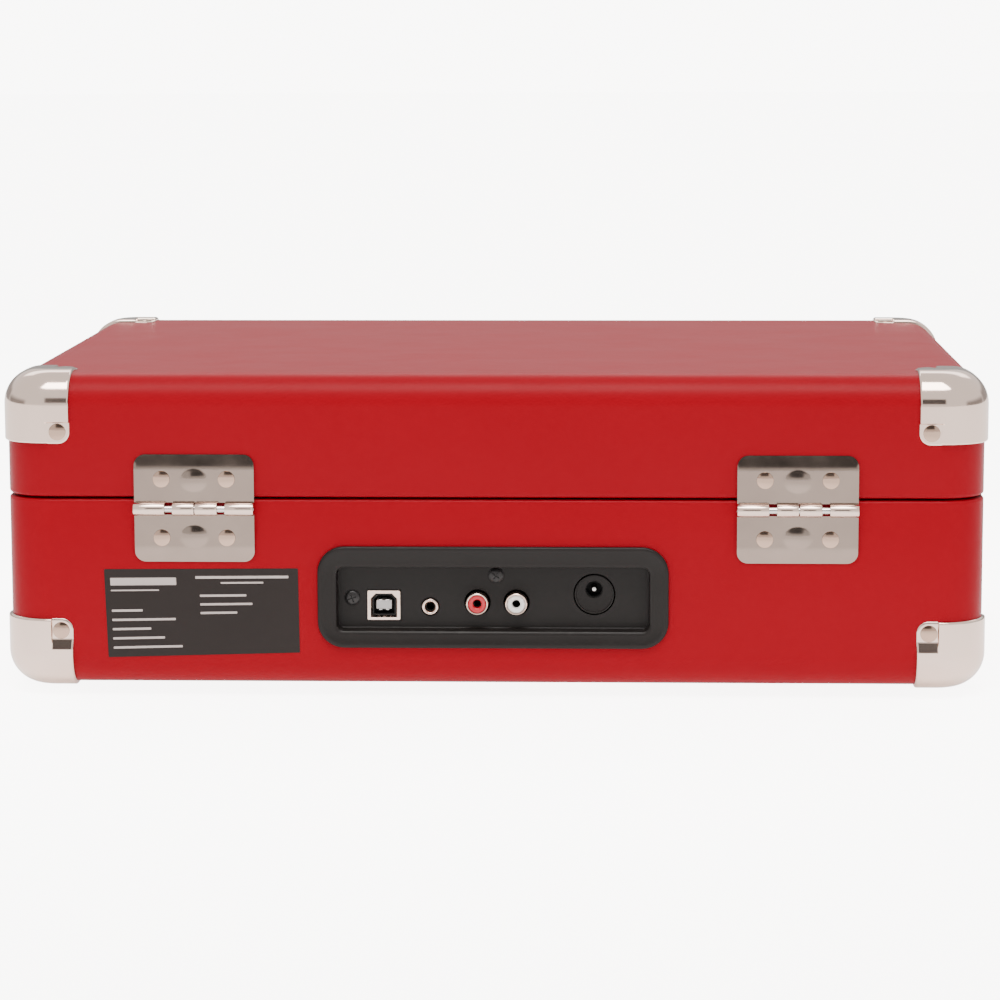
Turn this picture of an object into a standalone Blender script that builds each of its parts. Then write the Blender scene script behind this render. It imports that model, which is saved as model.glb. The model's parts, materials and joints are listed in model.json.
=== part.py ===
"""Suitcase record player: a hinged, leatherette-covered case with a belt-driven turntable inside.

Units are metres and +Z is up.  The origin is on the floor under the middle of the case.  The
carrying handle and the latches face -Y, the hinges and the connector panel face +Y.  The case is
modelled closed, with the tonearm on its rest.
"""
import math

import bmesh
import bpy

# ---------------------------------------------------------------- driving dimensions
CASE_WIDTH = 0.356
CASE_DEPTH = 0.243
CASE_HEIGHT = 0.114
BASE_HEIGHT = 0.0693
FOOT_HEIGHT = 0.004
FOOT_RADIUS = 0.008
EDGE_RADIUS = 0.0115
CORNER_RADIUS = 0.017
WALL = 0.0065
LEDGE = 0.002
SEAM_GAP = 0.0008
RIM_ROUND = 0.0012
GAP = 0.0003

BACK = CASE_DEPTH / 2
FRONT = -CASE_DEPTH / 2
BOTTOM = FOOT_HEIGHT
TOP = FOOT_HEIGHT + CASE_HEIGHT
SEAM = FOOT_HEIGHT + BASE_HEIGHT
INSIDE_FLOOR = BOTTOM + WALL

ACCESS_WIDTH = 0.204
ACCESS_DEPTH = 0.100
ACCESS_REBATE = 0.008
ACCESS_THICKNESS = 0.003
FOOT_X = 0.125
FOOT_Y = 0.075

PROTECTOR_REACH = 0.025
PROTECTOR_THICKNESS = 0.001
PROTECTOR_TIP_RADIUS = 0.004

HINGE_CENTRES = (0.1080, -0.1098)
HINGE_WIDTH = 0.0435
HINGE_LEAF_HEIGHT = 0.0196
HINGE_LEAF_THICKNESS = 0.001
HINGE_DROP = 0.0036
BARREL_RADIUS = 0.0025
PIN_RADIUS = 0.00115
KNUCKLE_SPLITS = (-0.0100, -0.0005, 0.0090)
HINGE_Y = BACK + GAP + BARREL_RADIUS
HINGE_Z = SEAM - HINGE_DROP

DECK_TOP = SEAM - 0.003
DECK_THICKNESS = 0.0025
DECK_SIDE_GAP = 0.0004
WELL_DEPTH = 0.003
WELL_RADIUS = 0.0955
WELL_FLOOR = DECK_TOP - WELL_DEPTH
DECK_UNDER_WELL = WELL_FLOOR - DECK_THICKNESS
DECK_UNDER = DECK_TOP - DECK_THICKNESS

SPINDLE_X = -0.036
SPINDLE_Y = 0.014
SPINDLE_RADIUS = 0.0036
JOURNAL_RADIUS = 0.0050
PLATTER_RADIUS = 0.092
PLATTER_TOP = DECK_TOP + 0.0085
PLATTER_UNDER = PLATTER_TOP - 0.002
DRUM_RADIUS = 0.062
MAT_RADIUS = 0.088
MAT_THICKNESS = 0.0018
MAT_TOP = PLATTER_TOP + GAP + MAT_THICKNESS

PULLEY_DISTANCE = 0.076
PULLEY_ANGLE = math.radians(150)
PULLEY_X = SPINDLE_X + PULLEY_DISTANCE * math.cos(PULLEY_ANGLE)
PULLEY_Y = SPINDLE_Y + PULLEY_DISTANCE * math.sin(PULLEY_ANGLE)
PULLEY_RADIUS = 0.0048
BELT_THICKNESS = 0.0007
BELT_HEIGHT = 0.0045
BELT_BOTTOM = DECK_TOP + 0.0006
MOTOR_RADIUS = 0.0165
MOTOR_HEIGHT = 0.020
SHAFT_RADIUS = 0.001

ARM_X = 0.122
ARM_Y = 0.084
ARM_Z = 0.096
ARM_RADIUS = 0.0035
ARM_REACH = 0.164
HEAD_ANGLE = math.radians(-20)
HEAD_LENGTH = 0.024
POST_PLATE_TOP = DECK_TOP + 0.0033
LIFT_RADIUS = 0.026
LIFT_STEM_ANGLE = math.radians(-114)
LIFT_X = ARM_X + LIFT_RADIUS * math.cos(LIFT_STEM_ANGLE)
LIFT_Y = ARM_Y + LIFT_RADIUS * math.sin(LIFT_STEM_ANGLE)
LIFT_TOP = ARM_Z - ARM_RADIUS - GAP
CUE_X = 0.1425
CUE_Y = 0.058
CUE_Z = 0.0806
REST_Y = -0.045
CLIP_X = ARM_X + 0.007
CLIP_CLOSED_TURN = math.radians(110)

GRILLE_X = 0.096
GRILLE_Y = -0.097
SLOT_COUNT = 14
SLOT_PITCH = 0.0052
SLOT_WIDTH = 0.0024
SLOT_LENGTH = 0.022
SPEAKER_WIDTH = 0.078
SPEAKER_DEPTH = 0.032

SWITCH_X = 0.150
SPEED_Y = 0.020
AUTOSTOP_Y = -0.012
SPEED_TRAVEL = 0.008
AUTOSTOP_TRAVEL = 0.005
KNOB_Y = -0.088
KNOB_RADIUS = 0.0095

PANEL_WIDTH = 0.1272
PANEL_HEIGHT = 0.0372
PANEL_RADIUS = 0.0097
PANEL_Z = BOTTOM + 0.0333
RECESS_WIDTH = 0.1135
RECESS_HEIGHT = 0.0233
RECESS_RADIUS = 0.0027
RECESS_Z = BOTTOM + 0.0326
RECESS_DEPTH = 0.005
RECESS_WALL = 0.0015
RECESS_FLOOR_THICKNESS = 0.0022
RECESS_FLOOR = BACK - RECESS_DEPTH
USB_AT = (0.0399, BOTTOM + 0.0295)
AUX_AT = (0.0230, BOTTOM + 0.0290)
RCA_RED_AT = (0.0058, BOTTOM + 0.0306)
RCA_WHITE_AT = (-0.0084, BOTTOM + 0.0306)
DC_AT = (-0.0367, BOTTOM + 0.0337)

LATCH_X = 0.115
HANDLE_X = 0.055
HANDLE_Z = 0.050
HANDLE_Y = FRONT - 0.0052
HANDLE_DROP = 0.030

FINE_STEPS = 40
ROUND_STEPS = 20
SMALL_STEPS = 12


# ---------------------------------------------------------------- modelling helpers
def material(name, colour, roughness, metallic=0.0):
    """Principled material with one colour, roughness and metallic value."""
    made = bpy.data.materials.new(name)
    made.use_nodes = True
    shader = made.node_tree.nodes["Principled BSDF"]
    shader.inputs["Base Color"].default_value = (*colour, 1.0)
    shader.inputs["Roughness"].default_value = roughness
    shader.inputs["Metallic"].default_value = metallic
    return made


def rounded_rectangle(width, height, radius, steps=4):
    """Outline of a rounded rectangle about the origin, counter-clockwise."""
    radius = min(radius, width / 2 - 1e-5, height / 2 - 1e-5)
    points = []
    for corner, (side_u, side_v) in enumerate(((1, 1), (-1, 1), (-1, -1), (1, -1))):
        centre_u = side_u * (width / 2 - radius)
        centre_v = side_v * (height / 2 - radius)
        for step in range(steps + 1):
            angle = math.radians(90 * (corner + step / steps))
            points.append((centre_u + radius * math.cos(angle), centre_v + radius * math.sin(angle)))
    return points


def arc(radius, start, end, steps, centre=(0.0, 0.0)):
    """Points of an arc, both ends included; angles are in degrees."""
    angles = [math.radians(start + (end - start) * step / steps) for step in range(steps + 1)]
    return [(centre[0] + radius * math.cos(a), centre[1] + radius * math.sin(a)) for a in angles]


def loft(sections, closed=False):
    """Solid through matching outlines: flat at both ends, or closed back onto its first outline."""
    made = bmesh.new()
    loops = [[made.verts.new(point) for point in section] for section in sections]
    pairs = list(zip(loops, loops[1:]))
    if closed:
        pairs.append((loops[-1], loops[0]))
    for first, second in pairs:
        for here in range(len(first)):
            after = (here + 1) % len(first)
            made.faces.new((first[here], first[after], second[after], second[here]))
    if not closed:
        made.faces.new(reversed(loops[0]))
        made.faces.new(loops[-1])
    bmesh.ops.recalc_face_normals(made, faces=made.faces)
    return made


def turned(profile, steps=ROUND_STEPS, closed=False):
    """Solid of revolution about Z through (radius, z) points; closed leaves a bore."""
    sections = []
    for radius, z in profile:
        angles = [2 * math.pi * step / steps for step in range(steps)]
        sections.append([(radius * math.cos(a), radius * math.sin(a), z) for a in angles])
    return loft(sections, closed)


def prism(outline, start, end, axis="Z"):
    """Outline swept straight along an axis: (y, z) along X, (x, z) along Y, (x, y) along Z."""
    def place(u, v, w):
        return {"X": (w, u, v), "Y": (u, w, v), "Z": (u, v, w)}[axis]
    return loft([[place(u, v, w) for u, v in outline] for w in (start, end)])


def block(low, high, round_by=0.0, segments=2):
    """Box between two corners, with its edges rounded if asked."""
    made = bmesh.new()
    bmesh.ops.create_cube(made, size=1.0)
    for vertex in made.verts:
        vertex.co = [a + (b - a) * (c + 0.5) for a, b, c in zip(low, high, vertex.co)]
    if round_by:
        bmesh.ops.bevel(made, geom=made.edges[:], offset=round_by, segments=segments,
                        profile=0.5, affect="EDGES")
    bmesh.ops.recalc_face_normals(made, faces=made.faces)
    return made


def rod(radius, start, end, axis="Z", centre=(0.0, 0.0), steps=SMALL_STEPS):
    """Cylinder along an axis; centre gives its other two coordinates in axis order."""
    outline = [(centre[0] + u, centre[1] + v) for u, v in arc(radius, 0, 360 - 360 / steps, steps - 1)]
    return prism(outline, start, end, axis)


def as_mesh(name, shape):
    """Mesh datablock of a finished bmesh."""
    mesh = bpy.data.meshes.new(name)
    shape.to_mesh(mesh)
    shape.free()
    return mesh


def combine(shape, cuts=(), joins=(), keeps=()):
    """Shape with some solids cut away, then some joined on, then held within others."""
    collection = bpy.context.scene.collection
    body = bpy.data.objects.new("working_body", as_mesh("working_body", shape))
    collection.objects.link(body)
    tools = []
    for operation, solids in (("DIFFERENCE", cuts), ("UNION", joins), ("INTERSECT", keeps)):
        for solid in solids:
            tool = bpy.data.objects.new("working_tool", as_mesh("working_tool", solid))
            tool.hide_render = True
            tool.display_type = "WIRE"
            collection.objects.link(tool)
            tools.append(tool)
            boolean = body.modifiers.new(operation.lower(), "BOOLEAN")
            boolean.operation = operation
            boolean.solver = "EXACT"
            boolean.object = tool
    evaluated = body.evaluated_get(bpy.context.evaluated_depsgraph_get())
    result = bmesh.new()
    result.from_mesh(evaluated.to_mesh())
    evaluated.to_mesh_clear()
    for used in [body, *tools]:
        mesh = used.data
        bpy.data.objects.remove(used)
        bpy.data.meshes.remove(mesh)
    bmesh.ops.remove_doubles(result, verts=result.verts, dist=1e-6)
    bmesh.ops.dissolve_degenerate(result, edges=result.edges, dist=1e-6)
    return result


def place(name, shape, look, at=(0, 0, 0), turn=(0, 0, 0), parent=None):
    """Named object from a bmesh or a shared mesh, at a world position under an unturned parent."""
    mesh = shape if isinstance(shape, bpy.types.Mesh) else as_mesh(name, shape)
    mesh.shade_smooth()
    mesh.set_sharp_from_angle(angle=math.radians(32))
    if not mesh.materials:
        mesh.materials.append(look)
    made = bpy.data.objects.new(name, mesh)
    bpy.context.scene.collection.objects.link(made)
    made.rotation_euler = turn
    made.parent = parent
    origin = parent.matrix_world.translation if parent else (0, 0, 0)
    made.location = [a - b for a, b in zip(at, origin)]
    return made


def pivot(name, at, parent=None):
    """Empty that stands on a joint's axis and carries one moving body."""
    made = bpy.data.objects.new(name, None)
    made.empty_display_size = 0.02
    bpy.context.scene.collection.objects.link(made)
    made.parent = parent
    origin = parent.matrix_world.translation if parent else (0, 0, 0)
    made.location = [a - b for a, b in zip(at, origin)]
    bpy.context.view_layer.update()
    return made


# ---------------------------------------------------------------- case
def case_section(inset, z):
    """Level outline of the case, set in from its outer face."""
    radius = max(CORNER_RADIUS - inset, 0.002)
    outline = rounded_rectangle(CASE_WIDTH - 2 * inset, CASE_DEPTH - 2 * inset, radius, steps=6)
    return [(x, y, z) for x, y in outline]


def rounded_edge(outset=0.0, steps=5):
    """Inset and rise of the rounded long edge, from the flat face round to the upright side."""
    radius = EDGE_RADIUS + outset
    for step in range(steps + 1):
        angle = math.radians(90 * step / steps)
        yield radius * (1 - math.sin(angle)) - outset, radius * (1 - math.cos(angle)) - outset


def rim_edge():
    """Inset and drop of the covering where it turns over the rim."""
    for angle in (0, 45, 90):
        turn = math.radians(angle)
        yield RIM_ROUND * (1 - math.cos(turn)), RIM_ROUND * (1 - math.sin(turn))


def base_shell():
    """Lower tub: rounded below, with a ledge for the deck, an access opening and a rear window."""
    rim = SEAM - SEAM_GAP / 2
    ledge_z = DECK_UNDER - GAP
    sections = [case_section(inset, BOTTOM + rise) for inset, rise in rounded_edge()]
    sections += [case_section(inset, rim - drop) for inset, drop in rim_edge()]
    sections += [case_section(WALL, rim), case_section(WALL, ledge_z)]
    sections += [case_section(WALL + LEDGE, ledge_z), case_section(WALL + LEDGE, INSIDE_FLOOR)]
    rebate = rounded_rectangle(ACCESS_WIDTH + 2 * ACCESS_REBATE, ACCESS_DEPTH + 2 * ACCESS_REBATE, 0.008)
    opening = rounded_rectangle(ACCESS_WIDTH, ACCESS_DEPTH, 0.005)
    window = rounded_rectangle(RECESS_WIDTH + 2 * RECESS_WALL + 2 * GAP,
                               RECESS_HEIGHT + 2 * RECESS_WALL + 2 * GAP, 0.0045)
    window = [(x, z + RECESS_Z) for x, z in window]
    return combine(loft(sections), cuts=[
        prism(rebate, BOTTOM - 0.001, BOTTOM + ACCESS_THICKNESS + 2 * GAP),
        prism(opening, BOTTOM, INSIDE_FLOOR + 0.001),
        prism(window, BACK - 0.012, BACK + 0.002, "Y"),
    ])


def edge_inset(rise):
    """How far the rounded long edge is set in at a height below the flat face."""
    return EDGE_RADIUS - math.sqrt(EDGE_RADIUS ** 2 - (EDGE_RADIUS - rise) ** 2)


def lid_board():
    """Top board of the lid, with the upper part of the rounded edge on its rim."""
    sections = [case_section(inset, TOP - rise) for inset, rise in rounded_edge() if rise < WALL]
    sections += [case_section(edge_inset(WALL), TOP - WALL)]
    return loft(sections)


def lid_shell():
    """Four walls of the lid, from under its board down to the rim."""
    rim = SEAM + SEAM_GAP / 2
    top = WALL + GAP
    sections = [case_section(edge_inset(top), TOP - top)]
    sections += [case_section(inset, TOP - rise) for inset, rise in rounded_edge() if rise > top]
    sections += [case_section(inset, rim + drop) for inset, drop in rim_edge()]
    sections += [case_section(WALL, rim), case_section(WALL, TOP - top)]
    return loft(sections, closed=True)


def access_panel():
    """Plate that closes the opening under the case."""
    outline = rounded_rectangle(ACCESS_WIDTH + 2 * ACCESS_REBATE - 2 * GAP,
                                ACCESS_DEPTH + 2 * ACCESS_REBATE - 2 * GAP, 0.0077)
    return prism(outline, 0.0, ACCESS_THICKNESS)


def corner_protector():
    """Pressed cap over one upper corner, made about the corner point of the lid's box."""
    def skin(outset):
        sections = [case_section(inset, TOP - rise) for inset, rise in rounded_edge(outset)]
        return loft(sections + [case_section(-outset, SEAM)])
    reach = PROTECTOR_REACH
    corner = (CASE_WIDTH / 2, CASE_DEPTH / 2, TOP)
    region = block([c - reach for c in corner], [c + reach for c in corner],
                   PROTECTOR_TIP_RADIUS, segments=3)
    shape = combine(skin(GAP + PROTECTOR_THICKNESS), cuts=[skin(GAP)], keeps=[region])
    bmesh.ops.translate(shape, verts=shape.verts, vec=[-c for c in corner])
    return shape


def foot():
    """Rubber foot, slightly narrower at the floor."""
    height = FOOT_HEIGHT - GAP
    return turned([(FOOT_RADIUS * 0.88, 0.0), (FOOT_RADIUS * 0.97, 0.0006), (FOOT_RADIUS, height)])


# ---------------------------------------------------------------- hinges
def knuckle_profile(side):
    """Leaf strip that runs past the pin and curls round it; side is 1 for the upper leaf."""
    outer = [(BARREL_RADIUS * math.cos(math.radians(a)), BARREL_RADIUS * math.sin(math.radians(a)))
             for a in range(180, 426, 20)]
    bore = BARREL_RADIUS - HINGE_LEAF_THICKNESS
    inner = [(bore * math.cos(math.radians(a)), bore * math.sin(math.radians(a)))
             for a in range(420, 179, -20)]
    reach = BARREL_RADIUS + 0.002
    strip = [(-BARREL_RADIUS, reach)] + outer + inner + [(-bore, reach)]
    return [(y, side * z) for y, z in strip]


def hinge_leaf(side, spans):
    """Leaf with its knuckles, made about the middle of the pin; side is 1 for the upper leaf."""
    clear = BARREL_RADIUS + 0.0004
    far = clear + HINGE_LEAF_HEIGHT - BARREL_RADIUS
    corner = PROTECTOR_TIP_RADIUS
    half = HINGE_WIDTH / 2
    outline = [(-half, clear), (half, clear)]
    outline += arc(corner, 0, 90, 5, (half - corner, far - corner))
    outline += arc(corner, 90, 180, 5, (-half + corner, far - corner))
    outline = [(x, side * z) for x, z in outline]
    inner_face = -BARREL_RADIUS
    plate = prism(outline, inner_face, inner_face + HINGE_LEAF_THICKNESS, "Y")
    knuckles = [prism(knuckle_profile(side), start, end, "X") for start, end in spans]
    return combine(plate, joins=knuckles)


def hinge_spans(first):
    """Stretches of the barrel that belong to one leaf, each short of its neighbour by a gap."""
    edges = (-HINGE_WIDTH / 2, *KNUCKLE_SPLITS, HINGE_WIDTH / 2)
    spans = []
    for index in range(first, len(edges) - 1, 2):
        start = edges[index] + (GAP / 2 if index > 0 else 0)
        end = edges[index + 1] - (GAP / 2 if index < len(edges) - 2 else 0)
        spans.append((start, end))
    return spans


# ---------------------------------------------------------------- rear connector panel
def panel_section(width, height, radius, z, y):
    """Upright rounded outline, facing +Y."""
    return [(x, y, z + v) for x, v in rounded_rectangle(width, height, radius, steps=5)]


def rear_panel():
    """Black bezel with a sunk tray, pierced for the sockets."""
    tray = (RECESS_WIDTH + 2 * RECESS_WALL, RECESS_HEIGHT + 2 * RECESS_WALL, 0.004, RECESS_Z)
    recess = (RECESS_WIDTH, RECESS_HEIGHT, RECESS_RADIUS, RECESS_Z)
    tray_back = RECESS_FLOOR - RECESS_FLOOR_THICKNESS
    sections = [
        panel_section(*tray, tray_back),
        panel_section(*tray, BACK + GAP),
        panel_section(PANEL_WIDTH, PANEL_HEIGHT, PANEL_RADIUS, PANEL_Z, BACK + GAP),
        panel_section(PANEL_WIDTH, PANEL_HEIGHT, PANEL_RADIUS, PANEL_Z, BACK + 0.0010),
        panel_section(PANEL_WIDTH - 0.0012, PANEL_HEIGHT - 0.0012, PANEL_RADIUS - 0.0006, PANEL_Z,
                      BACK + 0.0016),
        panel_section(*recess, BACK + 0.0016),
        panel_section(*recess, RECESS_FLOOR),
    ]
    low, high = tray_back - 0.001, RECESS_FLOOR + 0.001
    usb_x, usb_z = USB_AT
    cuts = [block((usb_x - 0.0063, low, usb_z - 0.0058), (usb_x + 0.0063, high, usb_z + 0.0058))]
    for (x, z), radius in ((AUX_AT, 0.0034), (RCA_RED_AT, 0.0048), (RCA_WHITE_AT, 0.0048),
                           (DC_AT, 0.0080)):
        cuts.append(rod(radius, low, high, "Y", (x, z)))
    return combine(loft(sections), cuts=cuts)


def usb_socket():
    """Square data socket with an open mouth and a tongue, facing local +Z."""
    shell = prism(rounded_rectangle(0.0120, 0.0109, 0.0008, 2), -0.0140, 0.0005)
    mouth = [(-0.0042, 0.0039), (0.0042, 0.0039), (0.0042, -0.0022), (0.0026, -0.0038),
             (-0.0026, -0.0038), (-0.0042, -0.0022)]
    tongue = block((-0.0028, -0.0016, -0.0090), (0.0028, 0.0016, -0.0004))
    return combine(shell, cuts=[prism(mouth, -0.0086, 0.0015)], joins=[tongue])


def aux_jack():
    """Small audio jack with a flanged bush, facing local +Z."""
    return turned([(0.0042, -0.0130), (0.0042, -0.0025), (0.0030, -0.0025), (0.0030, 0.0008),
                   (0.0026, 0.0012), (0.0018, 0.0012), (0.0018, -0.0110)])


def rca_jack():
    """Round phono socket, facing local +Z: a shell, a groove and a cored centre."""
    return turned([(0.0055, -0.0130), (0.0055, -0.0025), (0.00415, -0.0025), (0.00415, 0.0040),
                   (0.0038, 0.0045), (0.0034, 0.0045), (0.0034, 0.0005), (0.0029, 0.0005),
                   (0.0029, 0.0036), (0.0016, 0.0036), (0.0016, -0.0060)])


def dc_socket():
    """Power socket: a disc with an offset bore and a centre pin, facing local +Z."""
    bore = (0.0001, -0.0018)
    disc = turned([(0.0073, -0.0018), (0.0073, 0.0003), (0.0069, 0.0006)])
    body = block((-0.0036, -0.0058, -0.0130), (0.0036, 0.0040, -0.0010))
    return combine(combine(disc, joins=[body]), cuts=[rod(0.00305, -0.0090, 0.0020, "Z", bore)],
                   joins=[rod(0.0010, -0.0100, -0.0008, "Z", bore)])


# ---------------------------------------------------------------- deck and drive
def deck_plate():
    """Top plate with a round well for the platter, speaker slots and holes for the controls."""
    inset = WALL + DECK_SIDE_GAP
    outline = rounded_rectangle(CASE_WIDTH - 2 * inset, CASE_DEPTH - 2 * inset,
                                CORNER_RADIUS - inset, steps=6)
    spindle = (SPINDLE_X, SPINDLE_Y)
    below, above = DECK_UNDER_WELL - 0.001, DECK_TOP + 0.001
    cuts = [rod(WELL_RADIUS, WELL_FLOOR, above, "Z", spindle, FINE_STEPS),
            rod(0.0040, below, above, "Z", (PULLEY_X, PULLEY_Y)),
            rod(0.0033, below, above, "Z", (SWITCH_X, KNOB_Y)),
            rod(0.0030, below, above, "Z", (LIFT_X, LIFT_Y))]
    for y, travel in ((SPEED_Y, SPEED_TRAVEL), (AUTOSTOP_Y, AUTOSTOP_TRAVEL)):
        half = travel / 2 + 0.003
        cuts.append(block((SWITCH_X - 0.0016, y - half, below), (SWITCH_X + 0.0016, y + half, above)))
    for side in (-1, 1):
        for index in range(SLOT_COUNT):
            x = side * GRILLE_X + (index - (SLOT_COUNT - 1) / 2) * SLOT_PITCH
            slot = rounded_rectangle(SLOT_WIDTH, SLOT_LENGTH, SLOT_WIDTH / 2, steps=2)
            cuts.append(prism([(x + u, GRILLE_Y + v) for u, v in slot], below, above))
    plate = prism(outline, DECK_UNDER, DECK_TOP)
    dish = rod(WELL_RADIUS + DECK_THICKNESS, DECK_UNDER_WELL, DECK_TOP - 0.0005, "Z",
               spindle, FINE_STEPS)
    return combine(combine(plate, joins=[dish]), cuts=cuts)


def spindle():
    """Fixed spindle with its foot flange and bearing journal."""
    shoulder = PLATTER_UNDER - GAP
    return turned([(0.0120, WELL_FLOOR + GAP), (0.0120, WELL_FLOOR + 0.0016),
                   (JOURNAL_RADIUS, WELL_FLOOR + 0.0016), (JOURNAL_RADIUS, shoulder),
                   (SPINDLE_RADIUS, shoulder), (SPINDLE_RADIUS, MAT_TOP + 0.0080),
                   (0.0028, MAT_TOP + 0.0100), (0.0012, MAT_TOP + 0.0110)])


def platter():
    """Pressed platter: a rolled rim, a belt drum and a bored hub underneath."""
    rim_bottom = DECK_TOP - 0.0012
    drum_bottom = DECK_TOP - 0.0006
    return turned([
        (0.0039, PLATTER_TOP), (0.0885, PLATTER_TOP), (0.0890, PLATTER_TOP + 0.0006),
        (0.0912, PLATTER_TOP + 0.0006), (PLATTER_RADIUS, PLATTER_TOP - 0.0002),
        (PLATTER_RADIUS, rim_bottom), (0.0890, rim_bottom), (0.0890, PLATTER_UNDER),
        (DRUM_RADIUS, PLATTER_UNDER), (DRUM_RADIUS, drum_bottom), (0.0595, drum_bottom),
        (0.0595, PLATTER_UNDER), (0.0090, PLATTER_UNDER), (0.0090, drum_bottom),
        (0.0053, drum_bottom), (0.0053, PLATTER_UNDER), (0.0039, PLATTER_UNDER)],
        FINE_STEPS, closed=True)


def slip_mat():
    """Mat with a spindle hole and a label-sized dip in its top."""
    low, high = PLATTER_TOP + GAP, MAT_TOP
    return turned([(0.0042, low), (MAT_RADIUS, low), (MAT_RADIUS, high), (0.0500, high),
                   (0.0492, high - 0.0005), (0.0042, high - 0.0005)], FINE_STEPS, closed=True)


def belt_outline(big, small):
    """Loop round the drum and the pulley, with the pulley along +X from the drum."""
    tangent = math.degrees(math.acos((big - small) / PULLEY_DISTANCE))
    return (arc(big, tangent, 360 - tangent, 36)
            + arc(small, -tangent, tangent, 12, (PULLEY_DISTANCE, 0.0)))


def drive_belt():
    """Flat rubber belt, made about the spindle."""
    inner = belt_outline(DRUM_RADIUS + GAP, PULLEY_RADIUS + GAP)
    outer = belt_outline(DRUM_RADIUS + GAP + BELT_THICKNESS, PULLEY_RADIUS + GAP + BELT_THICKNESS)
    sections = [[(x, y, z) for x, y in outline]
                for outline, z in ((outer, 0.0), (outer, BELT_HEIGHT),
                                   (inner, BELT_HEIGHT), (inner, 0.0))]
    return loft(sections, closed=True)


def motor_pulley():
    """Flanged pulley with a bore for the motor's shaft, made from the belt's lower edge up."""
    flange, half = 0.0060, PULLEY_RADIUS
    return turned([(0.0013, -0.0018), (flange, -0.0018), (flange, -0.0006), (half, -0.0003),
                   (half, BELT_HEIGHT + 0.0003), (flange, BELT_HEIGHT + 0.0006),
                   (flange, BELT_HEIGHT + 0.0010), (0.0013, BELT_HEIGHT + 0.0010)], closed=True)


def motor():
    """Motor can under the deck, with its shaft up through the deck."""
    top = DECK_UNDER_WELL - GAP
    return turned([(MOTOR_RADIUS - 0.001, top - MOTOR_HEIGHT),
                   (MOTOR_RADIUS, top - MOTOR_HEIGHT + 0.001),
                   (MOTOR_RADIUS, top - 0.0006), (MOTOR_RADIUS - 0.0006, top), (SHAFT_RADIUS, top),
                   (SHAFT_RADIUS, BELT_BOTTOM + BELT_HEIGHT)], FINE_STEPS // 2)


def speaker():
    """Racetrack loudspeaker, facing up: cone, flange, basket and magnet."""
    def section(width, depth, z):
        return [(x, y, z) for x, y in rounded_rectangle(width, depth, depth / 2, steps=5)]
    return loft([section(0.020, 0.012, -0.0080), section(0.066, 0.023, -0.0012),
                 section(0.068, 0.025, 0.0),
                 section(SPEAKER_WIDTH, SPEAKER_DEPTH, 0.0),
                 section(SPEAKER_WIDTH, SPEAKER_DEPTH, -0.0016),
                 section(0.070, 0.026, -0.0016), section(0.046, 0.020, -0.0120),
                 section(0.028, 0.0278, -0.0125),
                 section(0.028, 0.0278, -0.0230)])


def amplifier_board():
    """Circuit board on four pillars, with a heat sink and capacitors, made from the floor up."""
    height = 0.0100
    board = prism(rounded_rectangle(0.100, 0.042, 0.001, 1), height, height + 0.0016)
    joins = [rod(0.0030, 0.0, height + 0.0008, "Z", (x, y))
             for x in (-0.045, 0.045) for y in (-0.016, 0.016)]
    joins.append(block((-0.020, -0.018, height + 0.001), (0.012, -0.008, height + 0.016)))
    joins += [rod(0.0040, height + 0.001, height + 0.013, "Z", (x, 0.006))
              for x in (-0.030, -0.012, 0.030)]
    return combine(board, joins=joins)


def tonearm_post():
    """Mounting plate with the arm's pillar, the lift guide and the cue lever's lug."""
    low = DECK_TOP + GAP
    centre_x, centre_y = 0.124, 0.072
    outline = [(centre_x + x, centre_y + y) for x, y in rounded_rectangle(0.056, 0.062, 0.012)]
    plate = prism(outline, low, POST_PLATE_TOP)
    pillar = turned([(0.0160, low + 0.001), (0.0160, POST_PLATE_TOP + 0.0015),
                     (0.0110, POST_PLATE_TOP + 0.0030),
                     (0.0100, ARM_Z - 0.0100)])
    bmesh.ops.translate(pillar, verts=pillar.verts, vec=(ARM_X, ARM_Y, 0.0))
    guide = rod(0.0045, low + 0.001, DECK_TOP + 0.0090, "Z", (LIFT_X, LIFT_Y))
    lug = block((CUE_X - 0.0040, CUE_Y - 0.0040, low + 0.001), (CUE_X, CUE_Y + 0.0040, CUE_Z + 0.0035))
    shape = combine(plate, joins=[pillar, guide, lug])
    return combine(shape, cuts=[rod(0.0023, low - 0.001, DECK_TOP + 0.0100, "Z", (LIFT_X, LIFT_Y)),
                                rod(0.0018, CUE_X - 0.0050, CUE_X + 0.0010, "X", (CUE_Y, CUE_Z))])


def tonearm_yoke():
    """Turning base with two cheeks, made about the tilt axis."""
    base = rod(0.0115, -0.0097, -0.0066, "Z", steps=ROUND_STEPS)
    cheeks = [block((side * 0.0090 - 0.0015, -0.0050, -0.0090),
                    (side * 0.0090 + 0.0015, 0.0050, 0.0055), 0.0006, 1)
              for side in (-1, 1)]
    return combine(combine(base, joins=cheeks), cuts=[rod(0.0021, -0.0130, 0.0130, "X")])


def tonearm_tube():
    """Arm tube with its hub, cross pin and counterweight, made about the tilt axis."""
    hub = block((-0.0060, -0.0080, -0.0050), (0.0060, 0.0080, 0.0050), 0.0012)
    return combine(rod(ARM_RADIUS, -ARM_REACH, 0.0150, "Y", steps=SMALL_STEPS),
                   joins=[hub, rod(0.0018, -0.0098, 0.0098, "X"),
                          rod(0.0090, 0.0128, 0.0260, "Y", steps=ROUND_STEPS)])


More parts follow.
